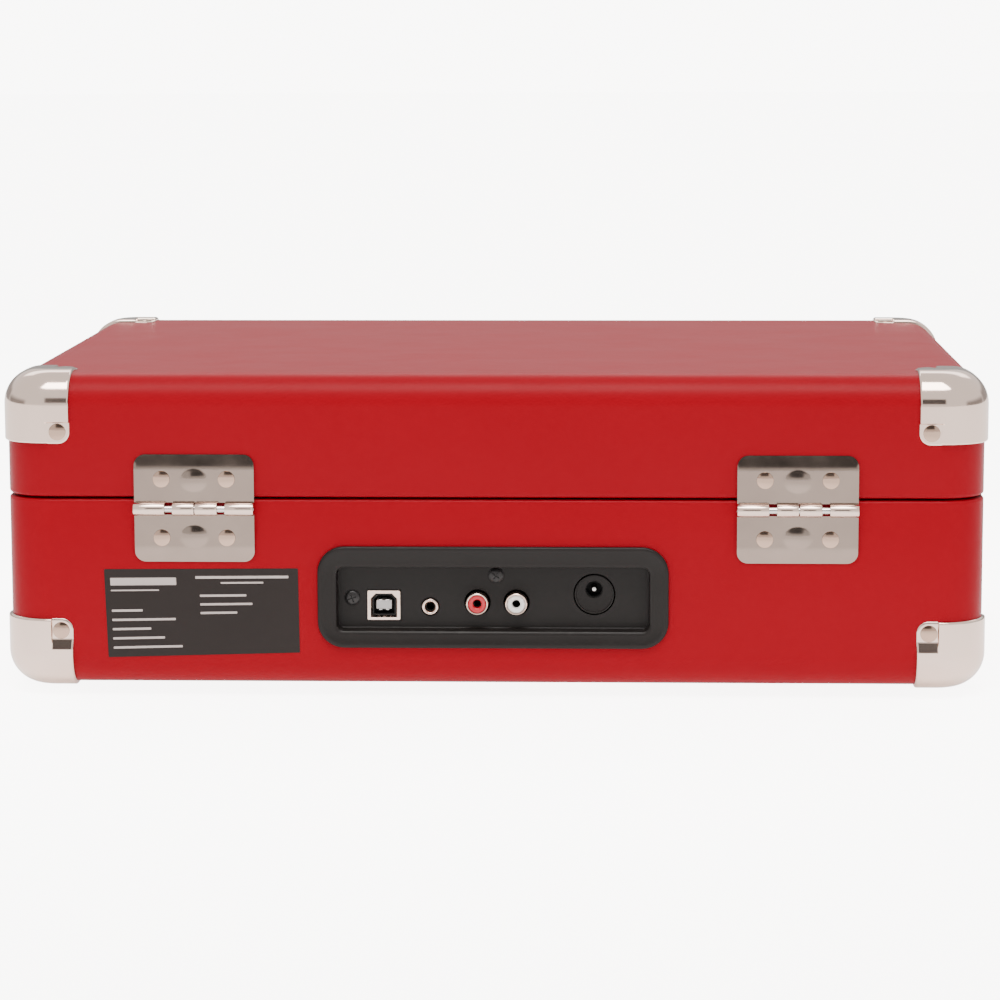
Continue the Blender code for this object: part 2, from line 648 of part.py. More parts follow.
def headshell():
    """Tapered shell at the arm's end with a finger lift, made about the tube's end."""
    def section(width, low, high, y):
        outline = rounded_rectangle(width, high - low, 0.0012, steps=2)
        return [(x, y, z + (low + high) / 2) for x, z in outline]
    shell = loft([section(0.0080, -0.0034, 0.0034, -0.0020), section(0.0120, -0.0035, 0.0030, -0.0080),
                  section(0.0140, -0.0035, 0.0022, -0.0200),
                  section(0.0120, -0.0035, 0.0010, -HEAD_LENGTH)])
    lift = block((0.0050, -0.0200, -0.0010), (0.0135, -0.0180, 0.0002))
    return combine(shell, joins=[lift])


def cartridge():
    """Pickup under the headshell, made about the tube's end."""
    return block((-0.0050, -0.0225, -0.0105), (0.0050, -0.0060, -0.0038), 0.0008, 1)


def stylus():
    """Replaceable needle holder and its tip, made about the tube's end."""
    holder = block((-0.0030, -0.0200, -0.0121), (0.0030, -0.0120, -0.0108))
    tip = turned([(0.0003, -0.0130), (0.0008, -0.0115)], SMALL_STEPS // 2)
    bmesh.ops.translate(tip, verts=tip.verts, vec=(0.0, -0.0180, 0.0))
    return combine(holder, joins=[tip])


def lift_bar():
    """Curved bar under the arm on its sliding stem, made about the stem."""
    outline = arc(LIFT_RADIUS + 0.0022, -84, -144, 10) + arc(LIFT_RADIUS - 0.0022, -144, -84, 10)
    shift_x, shift_y = LIFT_X - ARM_X, LIFT_Y - ARM_Y
    bar = prism([(x - shift_x, y - shift_y) for x, y in outline], -0.0018, 0.0)
    return combine(bar, joins=[rod(0.0018, DECK_TOP - 0.0020 - LIFT_TOP, -0.0009)])


def cue_lever():
    """Finger lever on a cross pin, made about its axis."""
    hub = rod(0.0038, 0.0003, 0.0070, "X")
    outline = [(0.0000, 0.0030), (-0.0180, 0.0062), (-0.0235, 0.0080), (-0.0240, 0.0064),
               (-0.0180, 0.0036),
               (0.0000, -0.0015)]
    return combine(hub, joins=[rod(0.0015, -0.0036, 0.0020, "X"), prism(outline, 0.0012, 0.0062, "X")])


def tonearm_rest():
    """Upright with a shelf under the arm and two ears for the clip, made about the clip's axis."""
    foot_z = DECK_TOP + GAP - ARM_Z
    post = block((-0.0028, -0.0065, foot_z), (0.0045, 0.0065, 0.0025))
    shelf = block((-0.0130, -0.0040, -0.0065), (0.0000, 0.0040, -0.0038))
    base = block((-0.0090, -0.0085, foot_z), (0.0080, 0.0085, foot_z + 0.0020))
    return combine(combine(post, joins=[shelf, base]), cuts=[
        block((-0.0030, -0.0043, -0.0050), (0.0060, 0.0043, 0.0035)), rod(0.0015, -0.0080, 0.0080, "Y")])


def arm_clip():
    """Swinging clip in its closed position, made about its axis."""
    outline = [(0.0015, -0.0010), (0.0015, 0.0058), (-0.0120, 0.0058), (-0.0120, 0.0042),
               (-0.0015, 0.0042),
               (-0.0015, -0.0010)]
    return combine(rod(0.0024, -0.0040, 0.0040, "Y"), joins=[
        prism(outline, -0.0036, 0.0036, "Y"), rod(0.0012, -0.0062, 0.0062, "Y", steps=12)])


# ---------------------------------------------------------------- controls
def slide_switch():
    """Sliding cap with its stem through the deck, made about the deck's top face."""
    cap = block((-0.0040, -0.0045, GAP), (0.0040, 0.0045, 0.0045), 0.0008, 1)
    return combine(cap, joins=[block((-0.0012, -0.0022, -0.0050), (0.0012, 0.0022, 0.0020))])


def volume_knob():
    """Round knob on its shaft, made about the deck's top face."""
    return turned([(0.0028, -0.0080), (0.0028, GAP), (KNOB_RADIUS, GAP), (KNOB_RADIUS, 0.0080),
                   (KNOB_RADIUS - 0.0010, 0.0090)])


# ---------------------------------------------------------------- latches and handle
def latch_hasp(side):
    """Lid half of a latch with its notched tongue, made on the seam at the front face."""
    plate = block((-0.0130, -0.0015, 0.0040), (0.0130, -GAP, 0.0210))
    step = block((-0.0070, -0.0036, 0.0060), (0.0070, -0.0010, 0.0130))
    tongue = block((-0.0070, -0.0036, -0.0120), (0.0070, -0.0022, 0.0100))
    notch = block((0.0020 if side > 0 else -0.0100, -0.0050, -0.0105),
                  (0.0100 if side > 0 else -0.0020, -0.0015, -0.0055))
    return combine(combine(plate, joins=[step, tongue]), cuts=[notch])


def latch_plate(side):
    """Base half of a latch: a plate with two rails for the bolt, made on the seam."""
    low_x, high_x = sorted((side * -0.0100, side * 0.0260))
    plate = block((low_x, -0.0015, -0.0230), (high_x, -GAP, -0.0030))
    rail_low, rail_high = sorted((side * 0.0085, side * 0.0250))
    rails = [block((rail_low, -0.0050, z - 0.0008), (rail_high, -0.0010, z + 0.0008))
             for z in (-0.0122, -0.0038)]
    return combine(plate, joins=rails)


def latch_slider(side):
    """Thumb bolt in its released place, made about its own middle on the front face."""
    low_x, high_x = sorted((side * -0.0045, side * 0.0045))
    body = block((low_x, -0.0062, -0.0030), (high_x, -0.0018, 0.0030), 0.0006, 1)
    nub_low, nub_high = sorted((side * -0.0085, side * -0.0030))
    return combine(body, joins=[block((nub_low, -0.0034, -0.0016), (nub_high, -0.0024, 0.0016))])


def handle_bracket():
    """Plate with a bored lug for the handle's pin, made about the handle's axis."""
    face = FRONT - HANDLE_Y
    plate = block((-0.0070, face - 0.0015, -0.0120), (0.0070, face - GAP, 0.0120))
    outline = arc(0.0040, 90, 270, 6) + [(face - 0.001, -0.0040), (face - 0.001, 0.0040)]
    lug = prism(outline, -0.0025, 0.0025, "X")
    return combine(combine(plate, joins=[lug]), cuts=[rod(0.0023, -0.0030, 0.0030, "X")])


def handle_grip():
    """Bowed grip between two legs with a pin at each end, made about the handle's axis."""
    half = HANDLE_X - 0.0080
    bend = 0.012
    path = [(-half, 0.0)] + arc(bend, 180, 270, 5, (-half + bend, -HANDLE_DROP + bend))
    path += arc(bend, 270, 360, 5, (half - bend, -HANDLE_DROP + bend)) + [(half, 0.0)]
    sections = []
    for index, (x, z) in enumerate(path):
        before = path[max(index - 1, 0)]
        after = path[min(index + 1, len(path) - 1)]
        along = math.atan2(after[1] - before[1], after[0] - before[0])
        outline = rounded_rectangle(0.0086, 0.0070, 0.0030, steps=2)
        sections.append([(x - u * math.sin(along), v, z + u * math.cos(along)) for u, v in outline])
    ends = [rod(0.0036, side * half - 0.0038, side * half + 0.0038, "X") for side in (-1, 1)]
    pins = [rod(0.0020, *sorted((side * half, side * (HANDLE_X + 0.0020))), "X") for side in (-1, 1)]
    return combine(loft(sections), joins=ends + pins)


# ---------------------------------------------------------------- assembly
def build():
    """Make every sub-part and stand it in its place."""
    for leftover in list(bpy.data.objects):
        bpy.data.objects.remove(leftover)
    red = material("red_leatherette", (0.62, 0.006, 0.012), 0.45)
    nickel = material("nickel", (0.78, 0.72, 0.69), 0.22, 1.0)
    steel = material("steel", (0.60, 0.59, 0.57), 0.3, 1.0)
    black = material("black_plastic", (0.03, 0.028, 0.027), 0.4)
    rubber = material("rubber", (0.02, 0.02, 0.02), 0.85)
    board = material("circuit_board", (0.03, 0.16, 0.07), 0.5)
    white = material("white_plastic", (0.82, 0.81, 0.79), 0.35)
    red_plastic = material("red_plastic", (0.60, 0.02, 0.03), 0.35)
    panel_board = material("dark_panel", (0.05, 0.045, 0.04), 0.7)

    place("base_shell", base_shell(), red)
    place("base_bottom_panel", access_panel(), panel_board, at=(0, 0, BOTTOM))
    for index, (x, y) in enumerate(((1, 1), (-1, 1), (-1, -1), (1, -1))):
        place(f"foot_{index + 1}", foot(), rubber, at=(x * FOOT_X, y * FOOT_Y, 0))

    lid = pivot("lid_pivot", (0.0, HINGE_Y, HINGE_Z))
    place("lid_shell", lid_shell(), red, parent=lid)
    place("lid_board", lid_board(), red, parent=lid)
    protector = as_mesh("corner_protector", corner_protector())
    for index, (x, y) in enumerate(((1, 1), (-1, 1), (-1, -1), (1, -1))):
        corner = (x * CASE_WIDTH / 2, y * CASE_DEPTH / 2)
        quarter = math.radians(90 * index)
        place(f"lid_corner_{index + 1}", protector, nickel, at=(*corner, TOP),
              turn=(0, 0, quarter), parent=lid)
        place(f"base_corner_{index + 1}", protector, nickel, at=(*corner, BOTTOM),
              turn=(math.pi, 0, quarter + math.pi / 2))

    for index, x in enumerate(HINGE_CENTRES):
        at = (x, HINGE_Y, HINGE_Z)
        place(f"hinge_leaf_base_{index + 1}", hinge_leaf(-1, hinge_spans(1)), nickel, at=at)
        place(f"hinge_leaf_lid_{index + 1}", hinge_leaf(1, hinge_spans(0)), nickel, at=at, parent=lid)
        pin = rod(PIN_RADIUS, -HINGE_WIDTH / 2, HINGE_WIDTH / 2, "X")
        place(f"hinge_pin_{index + 1}", pin, steel, at=at)

    outward = (-math.pi / 2, 0, 0)
    place("rear_panel", rear_panel(), black)
    place("usb_socket", usb_socket(), nickel, at=(USB_AT[0], RECESS_FLOOR, USB_AT[1]), turn=outward)
    place("aux_jack", aux_jack(), nickel, at=(AUX_AT[0], RECESS_FLOOR, AUX_AT[1]), turn=outward)
    place("rca_jack_red", rca_jack(), red_plastic,
          at=(RCA_RED_AT[0], RECESS_FLOOR, RCA_RED_AT[1]), turn=outward)
    place("rca_jack_white", rca_jack(), white,
          at=(RCA_WHITE_AT[0], RECESS_FLOOR, RCA_WHITE_AT[1]), turn=outward)
    place("dc_socket", dc_socket(), black, at=(DC_AT[0], RECESS_FLOOR, DC_AT[1]), turn=outward)

    place("deck_plate", deck_plate(), black)
    place("spindle", spindle(), steel, at=(SPINDLE_X, SPINDLE_Y, 0))
    turntable = pivot("platter_pivot", (SPINDLE_X, SPINDLE_Y, 0))
    place("platter", platter(), black, at=(SPINDLE_X, SPINDLE_Y, 0), parent=turntable)
    place("slip_mat", slip_mat(), rubber, at=(SPINDLE_X, SPINDLE_Y, 0), parent=turntable)
    place("drive_belt", drive_belt(), rubber, at=(SPINDLE_X, SPINDLE_Y, BELT_BOTTOM),
          turn=(0, 0, PULLEY_ANGLE))
    place("motor_pulley", motor_pulley(), white, at=(PULLEY_X, PULLEY_Y, BELT_BOTTOM))
    place("motor", motor(), steel, at=(PULLEY_X, PULLEY_Y, 0))
    for index, side in enumerate((1, -1)):
        place(f"speaker_{index + 1}", speaker(), black, at=(side * GRILLE_X, GRILLE_Y, DECK_UNDER - GAP))
    place("amplifier_board", amplifier_board(), board, at=(0, 0.071, INSIDE_FLOOR + GAP))

    place("tonearm_post", tonearm_post(), black)
    swing = pivot("tonearm_swing_pivot", (ARM_X, ARM_Y, ARM_Z))
    place("tonearm_yoke", tonearm_yoke(), black, at=(ARM_X, ARM_Y, ARM_Z), parent=swing)
    tilt = pivot("tonearm_tilt_pivot", (ARM_X, ARM_Y, ARM_Z), parent=swing)
    place("tonearm_tube", tonearm_tube(), black, at=(ARM_X, ARM_Y, ARM_Z), parent=tilt)
    head_at = (ARM_X, ARM_Y - ARM_REACH, ARM_Z)
    head_turn = (0, 0, HEAD_ANGLE)
    place("headshell", headshell(), black, at=head_at, turn=head_turn, parent=tilt)
    place("cartridge", cartridge(), black, at=head_at, turn=head_turn, parent=tilt)
    place("stylus", stylus(), red_plastic, at=head_at, turn=head_turn, parent=tilt)
    place("lift_bar", lift_bar(), black, at=(LIFT_X, LIFT_Y, LIFT_TOP))
    place("cue_lever", cue_lever(), black, at=(CUE_X, CUE_Y, CUE_Z))
    place("tonearm_rest", tonearm_rest(), black, at=(CLIP_X, REST_Y, ARM_Z))
    place("arm_clip", arm_clip(), black, at=(CLIP_X, REST_Y, ARM_Z), turn=(0, CLIP_CLOSED_TURN, 0))

    place("speed_switch", slide_switch(), black, at=(SWITCH_X, SPEED_Y - SPEED_TRAVEL / 2, DECK_TOP))
    place("autostop_switch", slide_switch(), black,
          at=(SWITCH_X, AUTOSTOP_Y - AUTOSTOP_TRAVEL / 2, DECK_TOP))
    place("volume_knob", volume_knob(), black, at=(SWITCH_X, KNOB_Y, DECK_TOP))

    for index, side in enumerate((1, -1)):
        at = (side * LATCH_X, FRONT, SEAM)
        place(f"latch_hasp_{index + 1}", latch_hasp(side), nickel, at=at, parent=lid)
        place(f"latch_plate_{index + 1}", latch_plate(side), nickel, at=at)
        place(f"latch_slider_{index + 1}", latch_slider(side), nickel,
              at=(side * (LATCH_X + 0.0175), FRONT, SEAM - 0.0080))
    for index, side in enumerate((1, -1)):
        place(f"handle_bracket_{index + 1}", handle_bracket(), nickel,
              at=(side * HANDLE_X, HANDLE_Y, HANDLE_Z))
    place("handle_grip", handle_grip(), red, at=(0, HANDLE_Y, HANDLE_Z))
    bpy.context.view_layer.update()


build()
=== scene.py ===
import json
import math

import bmesh
import bpy
from mathutils import Euler, Matrix, Vector


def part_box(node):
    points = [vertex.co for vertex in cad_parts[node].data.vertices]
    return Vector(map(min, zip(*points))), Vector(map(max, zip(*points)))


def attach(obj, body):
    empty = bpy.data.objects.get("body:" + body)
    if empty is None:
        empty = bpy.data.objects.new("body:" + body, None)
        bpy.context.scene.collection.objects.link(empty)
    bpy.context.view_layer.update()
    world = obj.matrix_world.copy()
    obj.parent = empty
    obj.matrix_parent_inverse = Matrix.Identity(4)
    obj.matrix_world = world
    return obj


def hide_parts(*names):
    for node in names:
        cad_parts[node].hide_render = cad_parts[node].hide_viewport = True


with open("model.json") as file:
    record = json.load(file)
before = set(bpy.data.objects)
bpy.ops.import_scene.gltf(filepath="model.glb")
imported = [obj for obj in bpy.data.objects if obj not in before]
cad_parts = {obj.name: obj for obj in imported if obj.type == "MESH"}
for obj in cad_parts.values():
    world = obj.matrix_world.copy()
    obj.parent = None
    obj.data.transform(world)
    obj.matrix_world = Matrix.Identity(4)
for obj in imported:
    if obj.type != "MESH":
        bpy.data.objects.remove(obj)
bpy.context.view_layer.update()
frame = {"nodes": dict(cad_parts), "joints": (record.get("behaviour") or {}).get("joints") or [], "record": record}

MM = 0.001
SMOOTH_ANGLE = 32
BEVEL_ANGLE = 38

# ------------------------------------------------------------------ sizes taken from the frame
LID_LOW, LID_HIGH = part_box("lid_shell")
BASE_LOW, BASE_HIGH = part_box("base_shell")
HALF_WIDTH = LID_HIGH[0]
HALF_DEPTH = LID_HIGH[1]
BACK, FRONT = HALF_DEPTH, -HALF_DEPTH
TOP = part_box("lid_board")[1][2]
BOTTOM = BASE_LOW[2]
LID_RIM = LID_LOW[2]
BASE_RIM = BASE_HIGH[2]
DECK_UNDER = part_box("deck_plate")[1][2] - 2.8 * MM
WALL = 6.5 * MM
EDGE_RADIUS = 11.5 * MM
CORNER_RADIUS = 17 * MM
RIM_ROUND = 1.2 * MM
HINGE_AXIS = next(Vector(joint["pos_m"]) for joint in frame["joints"] if joint["name"] == "lid_hinge")
BODY_OF = {node: body for body, nodes in frame["record"]["behaviour"]["bodies"].items() for node in nodes}


# ------------------------------------------------------------------ shape helpers
def mm(*lengths):
    """Millimetres as metres."""
    return tuple(length * MM for length in lengths)


def centre_of(node):
    """Middle of a node's box."""
    low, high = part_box(node)
    return tuple((low[axis] + high[axis]) / 2 for axis in range(3))


def quarter_turn(steps):
    """Sine and cosine at even steps over a right angle."""
    angles = [math.radians(90 * step / steps) for step in range(steps + 1)]
    return [(math.sin(angle), math.cos(angle)) for angle in angles]


def rounded_rectangle(width, height, radius, steps=6):
    """Outline of a rounded rectangle about the origin, counter-clockwise."""
    radius = min(radius, width / 2 - 1e-5, height / 2 - 1e-5)
    points = []
    for corner, (side_u, side_v) in enumerate(((1, 1), (-1, 1), (-1, -1), (1, -1))):
        for step in range(steps + 1):
            angle = math.radians(90 * (corner + step / steps))
            points.append((side_u * (width / 2 - radius) + radius * math.cos(angle),
                           side_v * (height / 2 - radius) + radius * math.sin(angle)))
    return points


def arc(radius, start, end, steps, centre=(0.0, 0.0)):
    """Points of an arc, both ends included; angles in degrees."""
    angles = [math.radians(start + (end - start) * step / steps) for step in range(steps + 1)]
    return [(centre[0] + radius * math.cos(a), centre[1] + radius * math.sin(a)) for a in angles]


def softened(points, radius, steps=3):
    """Closed outline with each sharp corner turned into a small curve."""
    result = []
    for index, point in enumerate(points):
        here = Vector(point)
        before = Vector(points[index - 1]) - here
        after = Vector(points[(index + 1) % len(points)]) - here
        start = here + before * min(radius / before.length, 0.45)
        end = here + after * min(radius / after.length, 0.45)
        for step in range(steps + 1):
            t = step / steps
            result.append(tuple(start * (1 - t) ** 2 + here * 2 * t * (1 - t) + end * t * t))
    return result


def smooth_step(value, low, high):
    """Nought below low, one above high, and a soft rise between."""
    t = ramp(value, low, high)
    return t * t * (3 - 2 * t)


def ramp(value, low, high):
    """Nought below low, one above high, and a straight rise between."""
    return min(max((value - low) / (high - low), 0.0), 1.0)


def loft(sections, closed=False):
    """Solid through matching outlines: flat at both ends, or closed back onto its first outline."""
    shape = bmesh.new()
    loops = [[shape.verts.new(point) for point in section] for section in sections]
    pairs = list(zip(loops, loops[1:]))
    if closed:
        pairs.append((loops[-1], loops[0]))
    for first, second in pairs:
        for here in range(len(first)):
            after = (here + 1) % len(first)
            shape.faces.new((first[here], first[after], second[after], second[here]))
    if not closed:
        shape.faces.new(reversed(loops[0]))
        shape.faces.new(loops[-1])
    bmesh.ops.recalc_face_normals(shape, faces=shape.faces)
    return shape


def lathed(profile, steps=64, closed=False):
    """Solid of revolution about Z through (radius, z) points; closed leaves a bore."""
    turns = [2 * math.pi * step / steps for step in range(steps)]
    return loft([[(r * math.cos(a), r * math.sin(a), z) for a in turns] for r, z in profile], closed)


def turned(profile, steps, closed=False):
    """Solid of revolution through (radius, z) points in millimetres."""
    return lathed([mm(*point) for point in profile], steps, closed)


def prism(outline, start, end, axis="Z"):
    """Outline swept straight: (y, z) along X, (x, z) along Y, (x, y) along Z."""
    order = {"X": lambda u, v, w: (w, u, v), "Y": lambda u, v, w: (u, w, v), "Z": lambda u, v, w: (u, v, w)}
    return loft([[order[axis](u, v, w) for u, v in outline] for w in (start, end)])


def block(low, high):
    """Box between two corners."""
    outline = [(low[0], low[1]), (high[0], low[1]), (high[0], high[1]), (low[0], high[1])]
    return prism(outline, low[2], high[2])


def skins(shape, outer, inner):
    """Faces over two matching grids of vertices, looking away from each other."""
    for c in range(len(outer) - 1):
        for r in range(len(outer[0]) - 1):
            shape.faces.new((outer[c][r], outer[c][r + 1], outer[c + 1][r + 1], outer[c + 1][r]))
            shape.faces.new((inner[c][r], inner[c + 1][r], inner[c + 1][r + 1], inner[c][r + 1]))


def moved(shape, matrix):
    """The same bmesh carried to its place, with its faces kept pointing out."""
    bmesh.ops.transform(shape, matrix=matrix, verts=shape.verts)
    if matrix.determinant() < 0:
        bmesh.ops.reverse_faces(shape, faces=shape.faces)
    return shape


def placed(shape, at=(0, 0, 0), turn=(0, 0, 0)):
    """The same bmesh turned (degrees) and moved."""
    spin = Euler([math.radians(a) for a in turn]).to_matrix().to_4x4()
    return moved(shape, Matrix.Translation(at) @ spin)


def as_mesh(name, shape):
    """Mesh datablock of a finished bmesh."""
    mesh = bpy.data.meshes.new(name)
    shape.to_mesh(mesh)
    shape.free()
    return mesh


def merged(*shapes):
    """Several closed shapes in one bmesh."""
    result = bmesh.new()
    for shape in shapes:
        mesh = as_mesh("part", shape)
        result.from_mesh(mesh)
        bpy.data.meshes.remove(mesh)
    return result


def linked(name, data):
    """New object of the scene."""
    made = bpy.data.objects.new(name, data)
    bpy.context.scene.collection.objects.link(made)
    return made


def carved(shape, cuts=(), joins=()):
    """Shape with solids cut away and others joined on."""
    body = linked("working_body", as_mesh("working_body", shape))
    tools = []
    for operation, solids in (("DIFFERENCE", cuts), ("UNION", joins)):
        for solid in solids:
            tool = linked("working_tool", as_mesh("working_tool", solid))
            tools.append(tool)
            boolean = body.modifiers.new(operation.lower(), "BOOLEAN")
            boolean.operation, boolean.solver, boolean.object = operation, "EXACT", tool
    evaluated = body.evaluated_get(bpy.context.evaluated_depsgraph_get())
    result = bmesh.new()
    result.from_mesh(evaluated.to_mesh())
    evaluated.to_mesh_clear()
    for used in [body, *tools]:
        mesh = used.data
        bpy.data.objects.remove(used)
        bpy.data.meshes.remove(mesh)
    bmesh.ops.remove_doubles(result, verts=result.verts, dist=2e-6)
    return result


def put(name, shape, look, body="case", stands_for=(), bevel=0.0, segments=2, smooth=SMOOTH_ANGLE):
    """Finished piece: a mesh with its look, on its body, standing for CAD nodes."""
    mesh = shape if isinstance(shape, bpy.types.Mesh) else as_mesh(name, shape)
    piece = linked(name, mesh)
    if not mesh.materials:
        mesh.materials.append(look)
    mesh.shade_smooth()
    if bevel:
        edge = piece.modifiers.new("soft_edges", "BEVEL")
        edge.width, edge.segments, edge.limit_method = bevel, segments, "ANGLE"
        edge.angle_limit, edge.harden_normals, edge.use_clamp_overlap = math.radians(BEVEL_ANGLE), True, True
    else:
        mesh.set_sharp_from_angle(angle=math.radians(smooth))
    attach(piece, body)
    if stands_for:
        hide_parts(*stands_for)
    return piece


def refined(node, look, edge, segments=2):
    """Detailed stand-in for a CAD node: its own shape with merged faces and edges rounded by so many mm."""
    shape = bmesh.new()
    shape.from_mesh(frame["nodes"][node].data)
    bmesh.ops.remove_doubles(shape, verts=shape.verts, dist=5e-6)
    bmesh.ops.dissolve_limit(shape, angle_limit=math.radians(0.6), verts=shape.verts, edges=shape.edges)
    return put(f"{node}_finish", shape, look, BODY_OF[node], (node,), edge * MM, segments)


# ------------------------------------------------------------------ node helpers
def wire(tree, kind, feeds=(), **settings):
    """Node with its settings; feeds are (socket or plain value, input name or index)."""
    node = tree.nodes.new(kind)
    for key, value in settings.items():
        setattr(node, key, value)
    for source, target in feeds:
        if isinstance(source, bpy.types.NodeSocket):
            tree.links.new(source, node.inputs[target])
        else:
            node.inputs[target].default_value = source
    return node


def maths(tree, operation, *terms, **settings):
    """Result of a Math node on sockets and plain numbers."""
    feeds = [(term, index) for index, term in enumerate(terms)]
    return wire(tree, "ShaderNodeMath", feeds, operation=operation, **settings).outputs[0]


def spread(tree, value, low, high, start=0.0, end=1.0, **settings):
    """Value carried from low..high to start..end."""
    feeds = [(value, "Value"), (low, "From Min"), (high, "From Max"), (start, "To Min"), (end, "To Max")]
    return wire(tree, "ShaderNodeMapRange", feeds, **settings).outputs["Result"]


def noise(tree, place, scale, detail, roughness=0.5):
    """Noise texture at a place."""
    feeds = [(place, "Vector"), (scale, "Scale"), (detail, "Detail"), (roughness, "Roughness")]
    return wire(tree, "ShaderNodeTexNoise", feeds).outputs


def blended(tree, share, first, second):
    """Colour between two, by share."""
    return wire(tree, "ShaderNodeMix", [(share, 0), (first, 6), (second, 7)], data_type="RGBA").outputs[2]


def object_place(tree):
    """Object coordinates."""
    return wire(tree, "ShaderNodeTexCoord").outputs["Object"]


# ------------------------------------------------------------------ repeated pieces
def copies_tree():
    """Geometry Nodes tree: one pattern at every vertex, turned by the vertex's own angles."""
    tree = bpy.data.node_groups.new("copies_at_points", "GeometryNodeTree")
    for label, kind in (("Points", "Geometry"), ("Pattern", "Object"), ("Size", "Float"),
                        ("Finish", "Material")):
        tree.interface.new_socket(label, in_out="INPUT", socket_type=f"NodeSocket{kind}")
    tree.interface.new_socket("Copies", in_out="OUTPUT", socket_type="NodeSocketGeometry")
    given = tree.nodes.new("NodeGroupInput")
    result = tree.nodes.new("NodeGroupOutput")
    pattern = wire(tree, "GeometryNodeObjectInfo", [(given.outputs["Pattern"], "Object")])
    turn = wire(tree, "GeometryNodeInputNamedAttribute", [("turn", "Name")], data_type="FLOAT_VECTOR")
    rotation = wire(tree, "FunctionNodeEulerToRotation", [(turn.outputs["Attribute"], "Euler")])
    instances = wire(tree, "GeometryNodeInstanceOnPoints", [
        (given.outputs["Points"], "Points"), (pattern.outputs["Geometry"], "Instance"),
        (rotation.outputs["Rotation"], "Rotation"), (given.outputs["Size"], "Scale")])
    realize = wire(tree, "GeometryNodeRealizeInstances", [(instances.outputs["Instances"], "Geometry")])
    dressed = wire(tree, "GeometryNodeSetMaterial", [(realize.outputs["Geometry"], "Geometry"),
                                                     (given.outputs["Finish"], "Material")])
    tree.links.new(dressed.outputs["Geometry"], result.inputs["Copies"])
    return tree


COPIES = copies_tree()


def repeat(name, pattern, places, look, body="case", size=1.0):
    """One mesh holding a copy of the pattern at each (position, turn in degrees)."""
    guide = linked("pattern", as_mesh("pattern", pattern))
    points = bpy.data.meshes.new(name)
    points.from_pydata([tuple(at) for at, _ in places], [], [])
    turns = points.attributes.new("turn", "FLOAT_VECTOR", "POINT")
    for index, (_, turn) in enumerate(places):
        turns.data[index].vector = [math.radians(a) for a in turn]
    host = linked("copies", points)
    modifier = host.modifiers.new("copies", "NODES")
    modifier.node_group = COPIES
    sockets = {item.name: item.identifier for item in COPIES.interface.items_tree if item.in_out == "INPUT"}
    modifier[sockets["Pattern"]] = guide
    modifier[sockets["Size"]] = size
    modifier[sockets["Finish"]] = look
    bpy.context.view_layer.update()
    evaluated = host.evaluated_get(bpy.context.evaluated_depsgraph_get())
    mesh = bpy.data.meshes.new_from_object(evaluated)
    for used in (host, guide):
        bpy.data.objects.remove(used)
    return put(name, mesh, look, body)


# ------------------------------------------------------------------ materials
def group(name, output, **inputs):
    """Shader node group with named inputs and their values, and one output; returns it and its two ends."""
    tree = bpy.data.node_groups.new(name, "ShaderNodeTree")
    for label, value in inputs.items():
        kind = "NodeSocketVector" if isinstance(value, tuple) else "NodeSocketFloat"
        socket = tree.interface.new_socket(label, in_out="INPUT", socket_type=kind)
        socket.default_value = value
    tree.interface.new_socket(output, in_out="OUTPUT", socket_type="NodeSocketFloat")
    return tree, tree.nodes.new("NodeGroupInput"), tree.nodes.new("NodeGroupOutput")


def grain_group():
    """Pebbled grain: small cells broken by noise, as a height."""
    tree, given, result = group("pebble_grain", "Height", Scale=900.0, Softness=0.5)
    place = object_place(tree)
    wander = noise(tree, place, 260.0, 2.0)
    shifted = wire(tree, "ShaderNodeVectorMath", [(wander["Color"], 0), (0.0022, "Scale")], operation="SCALE")
    spot = wire(tree, "ShaderNodeVectorMath", [(place, 0), (shifted.outputs[0], 1)], operation="ADD")
    cells = wire(tree, "ShaderNodeTexVoronoi", [
        (spot.outputs[0], "Vector"), (given.outputs["Scale"], "Scale"),
        (given.outputs["Softness"], "Smoothness")], feature="SMOOTH_F1")
    depth = maths(tree, "MULTIPLY", cells.outputs["Distance"], noise(tree, place, 2600.0, 3.0)["Fac"])
    tree.links.new(maths(tree, "SUBTRACT", 0.0, depth), result.inputs["Height"])
    return tree


def cloud_group():
    """Soft patches, from one value to another, for handling marks and uneven gloss."""
    tree, given, result = group("patches", "Value", Scale=12.0, Low=0.3, High=0.5)
    cloud = noise(tree, object_place(tree), given.outputs["Scale"], 5.0, 0.55)
    value = spread(tree, cloud["Fac"], 0.32, 0.68, given.outputs["Low"], given.outputs["High"])
    tree.links.new(value, result.inputs["Value"])
    return tree


def scratch_group():
    """Fine brushed hairlines along one way, as a height."""
    tree, given, result = group("hairlines", "Height", Stretch=(60.0, 60.0, 2400.0))
    pull = wire(tree, "ShaderNodeVectorMath", [(object_place(tree), 0), (given.outputs["Stretch"], 1)],
                operation="MULTIPLY")
    tree.links.new(noise(tree, pull.outputs[0], 1.0, 4.0)["Fac"], result.inputs["Height"])
    return tree


def dust_group():
    """Thin dust on what faces up, as a mask."""
    tree, given, result = group("dust", "Mask", Amount=0.1)
    surface = wire(tree, "ShaderNodeNewGeometry")
    split = wire(tree, "ShaderNodeSeparateXYZ", [(surface.outputs["Normal"], 0)])
    specks = spread(tree, noise(tree, object_place(tree), 420.0, 6.0)["Fac"], 0.56, 0.72)
    upward = maths(tree, "MULTIPLY", split.outputs["Z"], specks, use_clamp=True)
    tree.links.new(maths(tree, "MULTIPLY", upward, given.outputs["Amount"]), result.inputs["Mask"])
    return tree


GRAIN, PATCHES, HAIRLINES, DUST = grain_group(), cloud_group(), scratch_group(), dust_group()
DUST_COLOUR = (0.55, 0.53, 0.50, 1)
WAVE_SCALE = 22.0
GLOSS_PATCHES = 2.3


